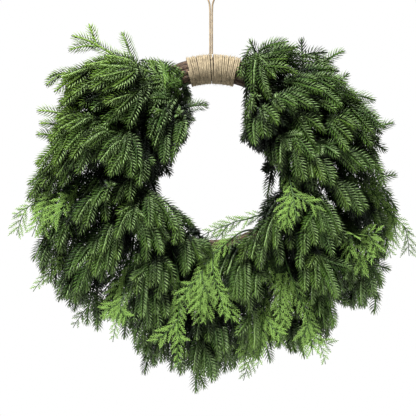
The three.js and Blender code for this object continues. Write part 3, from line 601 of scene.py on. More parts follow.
def stem_of(side, clock, held, tip):
    """A stem: its root along the bundle, then its way out to its own tip."""
    step = side * ROOT_STEP / RING_RADIUS * 180 / math.pi
    root = [ring_places(clock + k * step, held, ROOT_LIFT) for k in (-1, 0, 1)]
    turned = math.radians(clock + step)
    flow = np.array((side * math.cos(turned), 0, -side * math.sin(turned)))
    leave = unit(flow * 0.8 + outward_at(clock, held) * 0.6)
    return root + reach_to(root[2], leave, np.array(tip, float))


points, rooms, sprays = [], [], []
still, bound = set(), set()
seats = wire_seats()
for kind, plan in (("pine", PINE), ("cedar", CEDAR)):
    for side, at, seat, *tips in plan:
        clock, held = take_seat(seats, side, at, seat)
        stem = stem_of(side, clock, held, tips[0])
        first_leaf = max(5, len(stem) - 1 - math.floor(COVER[kind] / LINK + 0.5))
        first = len(points)
        still.update(range(first, first + 3))
        bound.update(range(first, first + 4))
        points += stem
        rooms += [BARE_ROOM if k < first_leaf else ROOM[kind] for k in range(len(stem))]
        lines = [list(range(first, len(points)))]
        for tip in tips[1:]:
            tip = np.array(tip, float)
            fork = fork_index(stem, tip)
            away = unit(unit(stem[fork + 1] - stem[fork]) + unit(tip - stem[fork]))
            shoot = reach_to(stem[fork], away, tip)
            lines.append([first + fork, *range(len(points), len(points) + len(shoot))])
            points += shoot
            rooms += [ROOM[kind]] * len(shoot)
        sprays.append({"kind": kind, "lines": lines, "facing": outward_at(clock, held)})

# Stems of different sprays push each other apart, out of the ring, the hole and the loop, while
# links along each stem keep its length and its curve.
places = np.array(points)
rooms = np.array(rooms)
owner = np.zeros(len(points), int)
for number, spray in enumerate(sprays):
    for line in spray["lines"]:
        owner[line] = number
fixed = np.isin(np.arange(len(points)), list(still))
free = ~fixed
loose = free & ~np.isin(np.arange(len(points)), list(bound))

first, second = np.triu_indices(len(points), 1)
near = np.linalg.norm(places[first] - places[second], axis=1) < NEIGHBOUR
near &= owner[first] != owner[second]
first, second = first[near], second[near]
together = rooms[first] + rooms[second]
share_each = np.where(fixed[first] | fixed[second], 0.5, 0.25)
levels = {}  # no two links of one level share a spray, so each level is pulled at once
for spray in sprays:
    order = 0
    for line in spray["lines"]:
        for gap, strength in ((1, 0.9), (2, 0.5)):
            for a, b in zip(line, line[gap:]):
                link = (a, b, length_of(places[a] - places[b]), strength)
                levels.setdefault(order, []).append(link)
                order += 1
links = [tuple(np.array(column) for column in zip(*level)) for level in levels.values()]


def push_apart():
    """Moves points of different sprays apart where they are nearer than their rooms allow."""
    gap = places[first] - places[second]
    distance = np.linalg.norm(gap, axis=1)
    use = np.flatnonzero((distance < together) & (distance > 1e-6))
    a, b, normal = first[use], second[use], gap[use] / distance[use, None]
    give = (normal * normal) @ EASE
    push = normal * EASE * ((together - distance)[use] / give * share_each[use])[:, None]
    for axis in range(3):
        moved = (np.bincount(a, push[:, axis], len(places))
                 - np.bincount(b, push[:, axis], len(places)))
        places[:, axis] += np.where(free, moved, 0)


def keep_clear():
    """Moves points out of the bundle, the hole and the loop, and between the back and the front."""
    x, y, z = places[loose].T
    room = rooms[loose]
    across = np.hypot(x, z)
    grown = np.maximum(1, (BUNDLE_ROOM + room) / np.hypot(across - RING_RADIUS, y))
    reach = (RING_RADIUS + (across - RING_RADIUS) * grown) / across
    x, y, z = x * reach, y * grown, z * reach
    inside = np.minimum(1, np.hypot((x - HOLE["x"]) / (HOLE["wide"] + room),
                                    (z - HOLE["z"]) / (HOLE["high"] + room)))
    x, z = HOLE["x"] + (x - HOLE["x"]) / inside, HOLE["z"] + (z - HOLE["z"]) / inside
    beside = np.hypot(x - LOOP_X, y)
    wide = np.where(z > RING_RADIUS, np.maximum(1, (LOOP_ROOM + room) / beside), 1)
    x = LOOP_X + (x - LOOP_X) * wide
    y = np.clip(y, DEPTH_FRONT + room, DEPTH_BACK - room)
    places[loose] = np.stack((x, y, z), 1)


def pull_together():
    """Draws the points of each stem back towards their first distances."""
    for a, b, rest, strength in links:
        gap = places[b] - places[a]
        distance = np.sqrt((gap * gap).sum(1))
        pull = (distance - rest) / distance * strength * np.where(fixed[a] | fixed[b], 1, 0.5)
        places[a] += gap * (pull * free[a])[:, None]
        places[b] -= gap * (pull * free[b])[:, None]


home = places.copy()
for _ in range(RELAX_STEPS):
    push_apart()
    places[free] += (home[free] - places[free]) * 0.01
    keep_clear()
    pull_together()

# ---------------------------------------------------------------- twigs
# Twigs fork from the stems and from each other and fill the wreath out. They are all combed one way,
# from the top outwards and down, each takes the side with the most room, and none reaches past the
# longest shoots or into the ring, the hole and the wrapping.

CELL = 3.0  # of the map that shows which places of the front are covered
CELLS = 290
WIDE = np.array([(i, j) for i in range(-2, 3) for j in range(-2, 3) if i * i + j * j < 7])
CLOSE = WIDE[(np.abs(WIDE) < 2).all(axis=1)]
CROSS = CLOSE[np.abs(CLOSE).sum(axis=1) < 2]
# Height, then the left and the right edge of the foliage round the hole.
HOLE_EDGE = np.array([(-148, 5, 12), (-132, -4, 42), (-112, -22, 72), (-96, -33, 82), (-83, -50, 90),
                      (-66, -80, 103), (-42, -90, 106), (-27, -72, 104), (5, -56, 76), (28, -42, 50),
                      (71, -32, 46), (99, -30, 47), (130, -34, 48)])
# Degrees from the top, then how far the foliage reaches there from the middle of the ring.
TOP_EDGE = np.array([(-54, 272), (-47, 258), (-37, 234), (-31, 228), (-28, 219), (-23, 198), (-16, 177),
                     (0, 150), (13, 215), (22, 211), (30, 238), (35, 251)])
EDGE_STEP = 4  # degrees between two places of the outer edge
TWIG_STEP = 3.0  # between two points of a twig
TWIG_MARKS = np.linspace(0, 1, 9)[:, None]
ALL_ROUND = np.radians(np.arange(0, 360, 36))
BOTH_SIDES = np.radians((0, 180))
# Pitch of the twigs, where they begin, their least distance from the others, the shortest and longest.
PINE_ROUNDS = ((26, 0, 15, 42, 90), (26, 13, 14, 40, 80), (13, 6, 12.5, 34, 70), (13, 0, 11, 30, 60))
CEDAR_ROUND = (15, 4, 8, 30, 88)

draw = np.random.default_rng(23)
shoots = []  # the spray, kind, line, rank and where the leaves start of each
for number, spray in enumerate(sprays):
    for order, line in enumerate(spray["lines"]):
        shoots.append({"spray": number, "kind": spray["kind"],
                       "line": smooth_line(places[line], TWIG_STEP),
                       "rank": 0 if order == 0 else 1, "start": 5.0 if order == 0 else 2.0})

# The outer edge follows the longest stems, and over the top its own table.
reached = np.concatenate([shoot["line"] for shoot in shoots])
outline_at = np.radians(np.arange(-200, 201, EDGE_STEP))
turned = np.arctan2(reached[:, 0], reached[:, 2])
outline = []
for angle in outline_at:
    apart = np.abs(np.angle(np.exp(1j * (turned - angle))))
    outline.append(np.hypot(reached[:, 0], reached[:, 2])[apart < math.radians(6)].max(initial=0) - 12)
on_top = (outline_at > math.radians(-54)) & (outline_at < math.radians(35))
outline = np.where(on_top, np.interp(np.degrees(outline_at), *TOP_EDGE.T), outline)


def flow_at(place):
    """The way that growth is combed at some places."""
    x, z = place[..., 0], place[..., 2]
    side = np.where(x < 0, -1.0, 1.0)
    clock = np.arctan2(np.abs(x), z)
    outer = np.clip((np.hypot(x, z) - 105) / 80, -0.2, 1.0) * (0.75 + 0.25 * np.cos(clock))
    round_ring = 0.9 * np.cos(clock / 2)
    sideways = side * (np.cos(clock) * round_ring + np.sin(clock) * outer)
    hanging = 0.25 + 0.3 * np.sin(clock) + 0.4 * (1 - np.clip(outer, 0, 1))
    up = np.cos(clock) * outer - np.sin(clock) * round_ring - hanging
    drop = np.clip((95 - np.abs(x)) / 40, 0, 1) * np.clip((z - 60) / 40, 0, 1)  # near the wrapping
    sideways, up = sideways * (1 - 0.85 * drop), up * (1 - drop) - drop
    return unit(np.stack((sideways, np.full_like(up, -0.12), up), -1))


def cells_of(place):
    return np.clip((place[..., (0, 2)] / CELL + CELLS / 2).astype(int), 3, CELLS - 4)


def cover(place, spread):
    """Marks the map round some places."""
    spots = cells_of(place)[:, None] + spread
    covered[spots[..., 0], spots[..., 1]] = True


def of_kind(kind):
    return [shoot for shoot in shoots if shoot["kind"] == kind]


def allowed(place, room, inset=10.0):
    """True where all of a twig's places are clear of the ring, the hole and the wrapping."""
    x, y, z = place[..., 0], place[..., 1], place[..., 2]
    across = np.hypot(x, z)
    ring = np.hypot(across - RING_RADIUS, y) > BUNDLE_ROOM + room * 0.6
    left, right = (np.interp(z, HOLE_EDGE[:, 0], HOLE_EDGE[:, k]) for k in (1, 2))
    hole = (x < left - room) | (x > right + room) | (z < -150) | (z > 130)
    wrapping = (np.abs(x) > 35 + room) | (z < 118)
    thinner = 45 * np.clip((across - 215) / 110, 0, 1)
    depth = (y > DEPTH_FRONT + room + thinner) & (y < DEPTH_BACK - 12)
    clock = np.arctan2(x, z)
    within = across < np.interp(clock, outline_at, outline) - inset
    spots = cells_of(place)
    behind = y > cedar_front[spots[..., 0], spots[..., 1]]
    return (ring & hole & wrapping & depth & within & behind).all(axis=-1)


def twig_lines(start, along, outs, reach):
    """For each way out, a twig that leaves its stem at a slant and bends to the way of the growth."""
    leave = unit(along * 0.72 + outs * 0.7)
    flow = flow_at(start + leave * reach * 0.7)
    tips = start + unit(along * 0.35 + outs * 0.32 + flow * 0.75) * reach
    settle = unit(along * 0.2 + outs * 0.1 + flow)
    near, far = start + leave * reach * 0.35, tips - settle * reach * 0.35
    return curve(start, near[:, None], far[:, None], tips[:, None], TWIG_MARKS)


def best_twig(place, along, outs, reach, least, taken):
    """Of some twigs, the one with the most room and the barest place to cover, or none."""
    twigs = twig_lines(place, along, outs, reach)
    good = allowed(twigs[:, 3:], 8.0)
    if not good.any():
        return None
    away = np.linalg.norm(taken - place, axis=1)
    near = taken[(away < reach + 16) & (away > 13)]
    gaps = np.linalg.norm(twigs[:, 4:, None] - near, axis=-1).min(axis=(1, 2))
    spots = cells_of(twigs[:, 3:])
    bare = 1 - covered[spots[..., 0], spots[..., 1]].mean(1)
    worth = np.where(good, np.minimum(gaps, 16) + 9 * bare, -1) + draw.uniform(0, 1, len(gaps))
    worth[gaps < least * (1 - 0.4 * bare)] = -1
    best = int(worth.argmax())
    return smooth_line(twigs[best], TWIG_STEP) if worth[best] > 0 else None


def grow(parents, taken, spread, plan, angles):
    """One round of twigs on some shoots, and the places that are taken after it."""
    pitch, offset, least, shortest, longest = plan
    added = []
    for order in draw.permutation(len(parents)):
        shoot = parents[order]
        line = shoot["line"]
        marks = marks_of(line)
        along, across, face = frames_of(line)
        for s in np.arange(8.0 + offset, marks[-1] - 14, pitch):
            k = int(np.searchsorted(marks, s + draw.uniform(-2, 2)))
            reach = min(longest, 0.8 * (marks[-1] - s) + 22) * draw.uniform(0.85, 1.1)
            if reach < shortest:
                continue
            outs = across[k] * np.cos(angles)[:, None] + face[k] * np.sin(angles)[:, None]
            twig = best_twig(line[k], along[k], outs, reach, least, taken)
            if twig is not None:
                added.append({**shoot, "line": twig, "rank": 2, "start": 2.0})
                taken = np.concatenate((taken, twig[::2]))
                cover(twig, spread)
    return added, taken


def gap_twig(root, way, target, deeper, with_flow):
    """A twig from a place on a stem into a bare place, or none where it would turn back."""
    aim = np.array((target[0], root[1] + deeper, target[2]))
    if target[1] < -7:
        aim[1] = min(aim[1], target[1] + 4)
    flow = unit(flow_at(aim) + way * 0.4)
    if unit(aim - root) @ flow < with_flow:
        return None
    tip = aim + flow * 10
    reach = length_of(tip - root)
    near = root + unit(way * 0.7 + unit(aim - root)) * reach * 0.35
    far = tip - flow * reach * 0.3
    twig = curve(root, near, far, tip, TWIG_MARKS)
    return smooth_line(twig, TWIG_STEP) if allowed(twig[None, 3:], 4.0)[0] else None


def fill_gaps(spread, deeper, ahead_least, with_flow):
    """Twigs from the pine stems into the places that are still bare, a little behind the others."""
    parents = of_kind("pine")
    points = np.concatenate([shoot["line"][1:-1] for shoot in parents])
    ways = np.concatenate([frames_of(shoot["line"])[0][1:-1] for shoot in parents])
    owners = np.concatenate([np.full(len(shoot["line"]) - 2, shoot["spray"]) for shoot in parents])
    for target in draw.permutation(open_spots):
        i, j = cells_of(target)
        if covered[i, j]:
            continue
        apart = (target - points)[:, (0, 2)]
        gap = np.hypot(*apart.T)
        ahead = (apart * ways[:, (0, 2)]).sum(1) / np.maximum(gap, 1)
        able = np.flatnonzero((gap > 12) & (gap < 60) & (ahead > ahead_least))
        for k in able[np.argsort(gap[able] - 20 * ahead[able])][:40:4]:
            twig = gap_twig(points[k], ways[k], target, deeper, with_flow)
            if twig is not None:
                shoots.append({"spray": int(owners[k]), "kind": "pine", "line": twig, "rank": 2,
                               "start": 2.0})
                cover(twig, spread)
                break


# Pine twigs stay behind the cedar, which is laid over them.
covered = np.zeros((CELLS, CELLS), bool)
cedar_front = np.full((CELLS, CELLS), -200.0)
for shoot in of_kind("cedar"):
    line = shoot["line"][marks_of(shoot["line"]) > 50]
    spots = cells_of(line)[:, None] + WIDE
    np.maximum.at(cedar_front, (spots[..., 0], spots[..., 1]), line[:, 1, None] - 4)
taken = np.concatenate([shoot["line"][::2] for shoot in shoots])
for shoot in shoots:
    cover(shoot["line"][marks_of(shoot["line"]) > shoot["start"]], WIDE)
for plan in PINE_ROUNDS:
    grown, taken = grow(of_kind("pine"), taken, WIDE, plan, ALL_ROUND)
    shoots += grown

# Every place of the front that the foliage should cover, just before the ring where it lies there.
grid = (np.arange(CELLS) + 0.5 - CELLS / 2) * CELL
x, z = (axis.ravel() for axis in np.meshgrid(grid, grid, indexing="ij"))
lift = np.sqrt(np.clip((BUNDLE_ROOM + 6) ** 2 - (np.hypot(x, z) - RING_RADIUS) ** 2, 0, None))
spots = np.stack((x, -lift - 6, z), -1)
open_spots = spots[allowed(spots[:, None], 5.0, 30.0) & ((np.abs(x) > 47) | (z < 118))]
covered[:] = False
for shoot in of_kind("pine"):
    cover(shoot["line"][marks_of(shoot["line"]) > shoot["start"] + 8][:-1], CLOSE)
fill_gaps(CLOSE, 6, 0.15, 0.1)
fill_gaps(CLOSE, 12, -0.6, -0.5)
covered[:] = False
for shoot in of_kind("pine"):
    cover(shoot["line"][marks_of(shoot["line"]) > 6][:-2], CROSS)
fill_gaps(CROSS, 14, -0.6, -0.5)
cedar_front[:] = -200
shoots += grow(of_kind("cedar"), taken, CROSS, CEDAR_ROUND, BOTH_SIDES)[0]

# ---------------------------------------------------------------- pine sprays
# Short-needled pine. A green-brown twig carries stiff, curved needles all round it, dark green with
# a pale edge that catches the light, and the newest at the tip point forward and are lighter.

NEEDLE = 16.0
NEEDLE_WIDE = 2.5
NEEDLE_THICK = 1.3
NEEDLE_BEND = 0.06
ROWS = np.radians((12, 80, 100, 168, 222, 318))  # round the twig
HUG = np.array((1, 0.62, 0.62, 1, 1, 1))  # how far each row leans out
AFTER = np.array((0, 0.3, 0.8, 0.05, 0.5, 0.5))  # how far each row starts after the whorl
# Painted shade: rows behind the twig are darker and rows to its sides lighter.
ROW_PAINTED_SHADE = np.array((1.15, 0.8, 0.8, 1.15, 0.45, 0.45))  # how light each row is
WHORL_PITCH = 4.6

# Needles and scales: darker and older at the root, partly their own colour and partly painted shade,
# yellow-green at the tip where they are new, with a pale rim that is partly a painted highlight. Painted
# shade makes a leaf darker the deeper it lies in the growth.
leaf_look, given, where = effect(
    "leaf_look", {"Painted shade": (0.004, 0.01, 0.003, 1), "Middle": (0.05, 0.145, 0.018, 1),
                  "New": (0.22, 0.36, 0.018, 1), "Edge": (0.46, 0.64, 0.28, 1),
                  "Bark": (0.035, 0.06, 0.015, 1), "Edge amount": 0.65})
GROWTH = ("tip", "rim", "tone_and_painted_shade", "fresh", "woody")
growth = {key: add(leaf_look, "ShaderNodeAttribute", attribute_name=key).outputs["Fac"]
          for key in GROWTH}
patch = grain(leaf_look, where["Object"], 22, 2)
vein = grain(leaf_look, where["Object"], 700, 3)
# Each leaf is darker towards its root: partly a green-brown base, partly painted shade.
forward = ranged(leaf_look, growth["tip"], 0, 1, 0.3, 1.0)
tone = maths(leaf_look, "ADD", maths(leaf_look, "ADD", growth["tone_and_painted_shade"], patch), -0.4)
tone = maths(leaf_look, "MULTIPLY", tone, forward, use_clamp=True)
young = maths(leaf_look, "MULTIPLY", growth["fresh"], forward)
# The pale rim is partly a pale band on the leaf and partly a painted highlight.
edge = maths(leaf_look, "MULTIPLY", growth["rim"], given["Edge amount"])
# Painted shade: leaves that lie deep in the growth turn to the near-black colour.
painted_deep_shade = ranged(leaf_look, growth["tone_and_painted_shade"], 0.08, 0.36, 1.0, 0.0)
colour = given["Painted shade"]
for share, key in ((tone, "Middle"), (young, "New"), (edge, "Edge"), (growth["woody"], "Bark"),
                   (painted_deep_shade, "Painted shade")):
    colour = tint(leaf_look, share, colour, given[key])
put_out(leaf_look, colour, ranged(leaf_look, vein, 0, 1, 0.38, 0.62), vein)
pine_green = finish_of("pine_needle", leaf_look, {}, bump=0.25, distance=0.0002, specular=0.3)


def leaf_shape(form, on_rim):
    """A small leaf that lies along Z from 0 to 1. on_rim tells from X which of its corners are rim."""
    bmesh.ops.triangulate(form, faces=form.faces)
    bmesh.ops.recalc_face_normals(form, faces=form.faces)
    form.verts.index_update()
    places = np.array([vert.co for vert in form.verts])
    faces = np.array([[vert.index for vert in face.verts] for face in form.faces])
    form.free()
    return {"places": places, "faces": faces, "rim": on_rim(places[:, 0]).astype(float)}


form = bmesh.new()
bmesh.ops.create_cone(form, cap_ends=True, segments=3, radius1=0.3, radius2=0.0, depth=1)
bmesh.ops.remove_doubles(form, verts=form.verts, dist=1e-5)
bmesh.ops.translate(form, vec=(0, 0, 0.5), verts=form.verts)
bmesh.ops.bisect_plane(form, geom=form.verts[:] + form.edges[:] + form.faces[:], dist=1e-6,
                       plane_co=(0, 0, 0.5), plane_no=(0, 0, 1))
for vert in form.verts:
    swell = 3.4 if 0.4 < vert.co.z < 0.6 else 1.1
    vert.co.x *= swell
    vert.co.y *= swell
needle = leaf_shape(form, lambda x: x > 0.01)


def copies(shape, roots, ways, sides, fronts, lengths, widths, thicks, bend=0.0):
    """Many small leaves, each with its root, its direction, its width's and thickness's way."""
    x, y, z = shape["places"].T
    curve = z * (1 - z) * 4
    lift = y[None] * thicks[:, None] + curve[None] * (bend * lengths)[:, None]
    return (roots[:, None] + ways[:, None] * (z[None] * lengths[:, None])[..., None]
            + sides[:, None] * (x[None] * widths[:, None])[..., None] + fronts[:, None] * lift[..., None])


def along_line(line, s):
    """Place, direction, across and face of a line at some distances along it."""
    marks = marks_of(line)
    found = []
    for values in (line, *frames_of(line)):
        found.append(np.stack([np.interp(s, marks, values[:, k]) for k in range(3)], 1))
    return found[0], unit(found[1]), unit(found[2]), unit(found[3])


def stem_part(shoot, tone_and_painted_shade, root_thick, tip_thick, wood_at, wood):
    """The bare wood of a shoot, six-sided: its places, triangles and growth values."""
    line = shoot["line"]
    share = marks_of(line) / marks_of(line)[-1]
    thick = root_thick + (tip_thick - root_thick) * share
    stem, quads, _ = tube_of(line, np.repeat(thick[:, None], 6, axis=1))
    end = len(stem) - 6
    faces = np.concatenate((quads[:, [3, 0, 1]], quads[:, [3, 1, 2]],
                            [(0, k, k + 1) for k in range(1, 5)],
                            [(end, end + k + 1, end + k) for k in range(1, 5)]))
    # Painted shade: the wood is darker the deeper it lies in the growth.
    return stem, faces, {"woody": np.repeat(np.interp(share, wood_at, wood), 6),
                         "tone_and_painted_shade": tone_and_painted_shade * (1 - 0.9 * painted_shade_depth(stem))}


def leaf_part(shape, made, tone_and_painted_shade, fresh):
    """Copies of a leaf: their places, triangles and growth values."""
    count, corners = made.shape[:2]
    faces = (np.arange(count)[:, None, None] * corners + shape["faces"]).reshape(-1, 3)
    return made.reshape(-1, 3), faces, {
        "tip": np.tile(shape["places"][:, 2], count), "rim": np.tile(shape["rim"], count),
        "tone_and_painted_shade": np.repeat(tone_and_painted_shade, corners), "fresh": np.repeat(fresh, corners)}


def needles_on(line, start, growth_and_shade):
    """Whorls of needles all round one shoot: their places, their tone with painted shade, and their
    freshness.
    """
    reach = marks_of(line)[-1] - 7
    whorls = max(3, int((reach - start) / WHORL_PITCH))
    count = whorls * len(ROWS)
    whorl = np.repeat(np.arange(whorls), len(ROWS))
    s = start + (reach - start) * (whorl + np.tile(AFTER, whorls)) / whorls + draw.normal(0, 0.15, count)
    left = np.clip(reach - s, 0, None)
    place, way, across, face = along_line(line, s)
    turn = np.tile(ROWS, whorls) + draw.normal(0, 0.06, count)
    out = across * np.cos(turn)[:, None] + face * np.sin(turn)[:, None]
    lean = np.radians(np.interp(left, (0, 3, 9, 24), (8, 24, 42, 51))) * np.tile(HUG, whorls)
    lean += draw.normal(0, 0.04, count)
    young = 0.55 + 0.45 * np.clip((s - start) / 14, 0, 1)
    size = NEEDLE * young * np.interp(left, (0, 5, 18), (0.62, 0.84, 1))
    size = size * (1 + draw.normal(0, 0.04, count)) * np.tile(0.4 + 0.6 * HUG, whorls)
    direction = way * np.cos(lean)[:, None] + out * np.sin(lean)[:, None]
    direction[:, 1] = np.minimum(direction[:, 1], (DEPTH_BACK - 1 - place[:, 1]) / size)
    direction = unit(direction)
    side = unit(np.cross(way, out))
    front = unit(np.cross(side, direction))
    front *= np.sign((front * out).sum(1))[:, None]
    side = np.cross(direction, front)
    deep = painted_shade_depth(place)
    made = copies(needle, place + out * 0.4, direction, side, front, size,
                  NEEDLE_WIDE * (1 + 0.7 * deep), np.full(count, NEEDLE_THICK), NEEDLE_BEND)
    # Painted shade: each shoot darker towards its root, each row by its own share, and each needle darker
    # and less yellow the deeper it lies.
    tone_and_painted_shade = growth_and_shade["tone_and_painted_shade"] * np.interp(s / reach, (0, 0.5, 1), (0.7, 1.0, 1.2))
    tone_and_painted_shade *= np.tile(ROW_PAINTED_SHADE, whorls)
    tone_and_painted_shade = np.clip((tone_and_painted_shade + draw.normal(0, 0.1, count)) * (1 - 0.9 * deep), 0, 1)
    fresh = np.clip((growth_and_shade["fresh"] + np.interp(left, (0, 25), (0.22, 0))) * (1 - deep), 0, 1)
    ends = place + direction * size[:, None]
    clear = np.hypot(np.hypot(ends[:, 0], ends[:, 2]) - RING_RADIUS, ends[:, 1]) > ROOT_LIFT
    return made[clear], tone_and_painted_shade[clear], fresh[clear]


def gathered(name, parts, material, slot, node):
    """One piece from parts of places, triangles and growth values."""
    faces, start = [], 0
    for part_places, part_faces, _ in parts:
        faces.append(part_faces + start)
        start += len(part_places)
    faces = np.concatenate(faces)
    vertices = np.concatenate([part_places for part_places, _, _ in parts])
    values = {key: np.concatenate([np.broadcast_to(part_values.get(key, 0.0), len(part_places))
                                   for part_places, _, part_values in parts]) for key in GROWTH}
    corner = faces.ravel()
    mesh = mesh_of(name, to_frame(vertices), [faces],
                   np.stack((values["rim"][corner], values["tip"][corner]), 1), values)
    return show(name, mesh, material, slot, node)


# Maps of how far the growth comes to the front and to the back, the first one spread a little. They set
# where shade is painted on the leaves.
front_map = np.full((CELLS, CELLS), 60.0)
back_map = np.full((CELLS, CELLS), -60.0)
for shoot in shoots:
    spots = cells_of(shoot["line"])[:, None] + CROSS
    depths = np.broadcast_to(shoot["line"][:, 1, None], spots.shape[:2])
    np.minimum.at(front_map, (spots[..., 0], spots[..., 1]), depths)
    np.maximum.at(back_map, (spots[..., 0], spots[..., 1]), depths)
for _ in range(3):
    for turned_map in (front_map, front_map.T):
        wider = np.minimum(turned_map[1:], turned_map[:-1])
        turned_map[1:] = wider
        turned_map[:-1] = np.minimum(turned_map[:-1], wider)


def painted_shade_depth(place):
    """How deep a place lies in the growth, for painted shade: from 0 at its front to 1 deep in it; its
    back is dim as well.
    """
    spots = cells_of(place)
    across = np.hypot(place[..., 0], place[..., 2])
    edge = np.interp(np.arctan2(place[..., 0], place[..., 2]), outline_at, outline)
    rim = np.clip((edge - across) / 85, 0.15, 1)
    behind = place[..., 1] - front_map[spots[..., 0], spots[..., 1]]
    inside = back_map[spots[..., 0], spots[..., 1]] - place[..., 1]
    return rim * np.clip((behind - 8) / 26, 0, 0.72 + 0.28 * np.clip(inside / 20, 0, 1))


def growth_and_shade_at(place):
    """How fresh and how light the growth is at a place: new and yellow outside; painted shade makes it
    darker inside and towards the back.
    """
    ring = math.hypot(place[0], place[2])
    outer = np.clip((ring - 150) / 150, 0, 1)
    top_left = np.clip((-place[0] + place[2] - 120) / 260, 0, 1)
    front = np.clip(-place[1] / 90, 0, 1)
    return {"fresh": float(np.clip(0.04 + 0.6 * outer * top_left + 0.12 * front
                                   + draw.normal(0, 0.07), 0, 1)),
            "tone_and_painted_shade": float(np.clip(0.35 + 0.25 * front + 0.1 * outer + draw.normal(0, 0.12), 0, 1))}


pine_count = 0
for number, spray in enumerate(sprays):
    if spray["kind"] != "pine":
        continue
    pine_count += 1
    parts = []
    for shoot in (one for one in shoots if one["spray"] == number):
        growth_and_shade = growth_and_shade_at(shoot["line"][-1])
        root_thick = 2.3 if shoot["rank"] == 0 else 1.3
        parts.append(stem_part(shoot, growth_and_shade["tone_and_painted_shade"], root_thick, 0.7, (0, 0.5, 1), (1, 0.75, 0.25)))
        parts.append(leaf_part(needle, *needles_on(shoot["line"], shoot["start"], growth_and_shade)))
    gathered(f"pine_{pine_count:02d}", parts, pine_green, "pine_needles",
             f"pine_spray_{pine_count:02d}")

# ---------------------------------------------------------------- cedar sprays
# Cedar grows in flat, lacy fans: a stem with branchlets to both sides, which fork again, all clad in
# small overlapping scales. It is yellower and lighter than the pine.

BRANCHLET = 19.0
BRANCHLET_PITCH = 5.8
FORK_PITCH = 1.8  # of the smallest branchlets, along a branchlet
FORK_START = 2.6
FORK_END = 1.5
SCALE_PITCH = 2.2

cedar_green = finish_of(
    "cedar_leaf", leaf_look,
    {"Painted shade": (0.01, 0.03, 0.004, 1), "Middle": (0.15, 0.31, 0.045, 1), "New": (0.32, 0.54, 0.1, 1),
     "Edge": (0.5, 0.7, 0.22, 1), "Edge amount": 0.4}, bump=0.25, distance=0.0002, specular=0.3)

form = bmesh.new()
bmesh.ops.create_uvsphere(form, u_segments=4, v_segments=2, radius=0.5)
bmesh.ops.translate(form, vec=(0, 0, 0.5), verts=form.verts)
scale = leaf_shape(form, lambda x: np.abs(x) > 0.2)


def squared(normal, way):
    """A normal turned to stand square on a direction."""
    return unit(normal - way * (normal * way).sum(1)[:, None])


def forked(parents):
    """The smallest branchlets, to both sides of some others by turns."""
    count = np.floor((parents["length"] - FORK_START - FORK_END) / FORK_PITCH) + 1
    count = np.maximum(0, count).astype(int)
    owner = np.repeat(np.arange(len(count)), count)
    order = np.arange(count.sum()) - np.repeat(np.cumsum(count) - count, count)
    s = FORK_START + order * FORK_PITCH + draw.normal(0, FORK_PITCH * 0.06, len(owner))
    turned = np.where((order + owner) % 2, 1.0, -1.0)
    way = unit(parents["way"][owner] + 2 * parents["bend"][owner] * s[:, None])
    normal = parents["normal"][owner]
    side = unit(np.cross(normal, way)) * turned[:, None]
    slant = np.radians(40) + draw.normal(0, 0.09, len(owner))
    tilt = draw.normal(0, 0.12, len(owner))[:, None]
    direction = unit(way * np.cos(slant)[:, None] + side * np.sin(slant)[:, None] + normal * tilt)
    left = parents["length"][owner] - s
    return {"root": parents["root"][owner] + parents["way"][owner] * s[:, None]
            + parents["bend"][owner] * (s * s)[:, None],
            "way": direction, "normal": squared(normal, direction),
            "length": np.clip(left * 0.22 + 1, 1.6, 3.6),
            "bend": way * 0.006 + np.array((0, 0, -0.001)), "fresh": parents["fresh"][owner]}


def scales_on(twigs, width):
    """Small overlapping scales along each branchlet, with their freshness and a painted shade that
    darkens them towards its root.
    """
    count = np.maximum(1, np.ceil(twigs["length"] / SCALE_PITCH)).astype(int)
    owner = np.repeat(np.arange(len(count)), count)
    s = (np.arange(count.sum()) - np.repeat(np.cumsum(count) - count, count)) * SCALE_PITCH
    root = (twigs["root"][owner] + twigs["way"][owner] * s[:, None]
            + twigs["bend"][owner] * (s * s)[:, None])
    way = unit(twigs["way"][owner] + 2 * twigs["bend"][owner] * s[:, None])
    normal = squared(twigs["normal"][owner], way)
    side = np.cross(way, normal)
    left = twigs["length"][owner] - s
    wide = width * np.clip(0.62 + left / 26, 0.62, 1.05)
    # Painted shade: scales are darker towards the root of the branchlet.
    light = 0.6 + 0.5 * s / twigs["length"][owner]
    made = copies(scale, root, way, side, normal, np.full(len(s), SCALE_PITCH * 1.65), wide,
                  wide * 0.5)
    fresh = np.clip(twigs["fresh"][owner] + np.interp(left, (0, 7), (0.3, 0)), 0, 1)
    return made, fresh, light


def fan_on(line, start, facing, fresh):
    """The branchlets of one cedar stem, in a flat fan that turns its face to the front."""
    marks = marks_of(line)
    reach = marks[-1]
    count = max(2, int((reach - start - 4) / BRANCHLET_PITCH))
    s = start + np.arange(count) * BRANCHLET_PITCH
    place, way, _, _ = along_line(line, s)
    turned = np.clip((s - 26) / 70, 0, 1)[:, None]
    normal = squared(facing * (1 - turned) + FRONT_WAY * turned, way)
    side = np.cross(normal, way) * np.where(np.arange(count) % 2, 1.0, -1.0)[:, None]
    slant = np.radians(38) + draw.normal(0, 0.07, count)
    direction = unit(way * np.cos(slant)[:, None] + side * np.sin(slant)[:, None]
                     + normal * draw.normal(0, 0.1, count)[:, None])
    share = s / reach
    size = BRANCHLET * 1.12 * np.sin(np.pi * (0.22 + 0.66 * share)) * (1 + draw.normal(0, 0.08, count))
    size = np.minimum(size, (reach - s) * 1.1 + 5)
    return {"root": place, "way": direction,
            "normal": squared(normal, direction),
            "length": size, "bend": way * 0.006 + np.array((0, 0, -0.0015)),
            "fresh": np.full(count, fresh)}


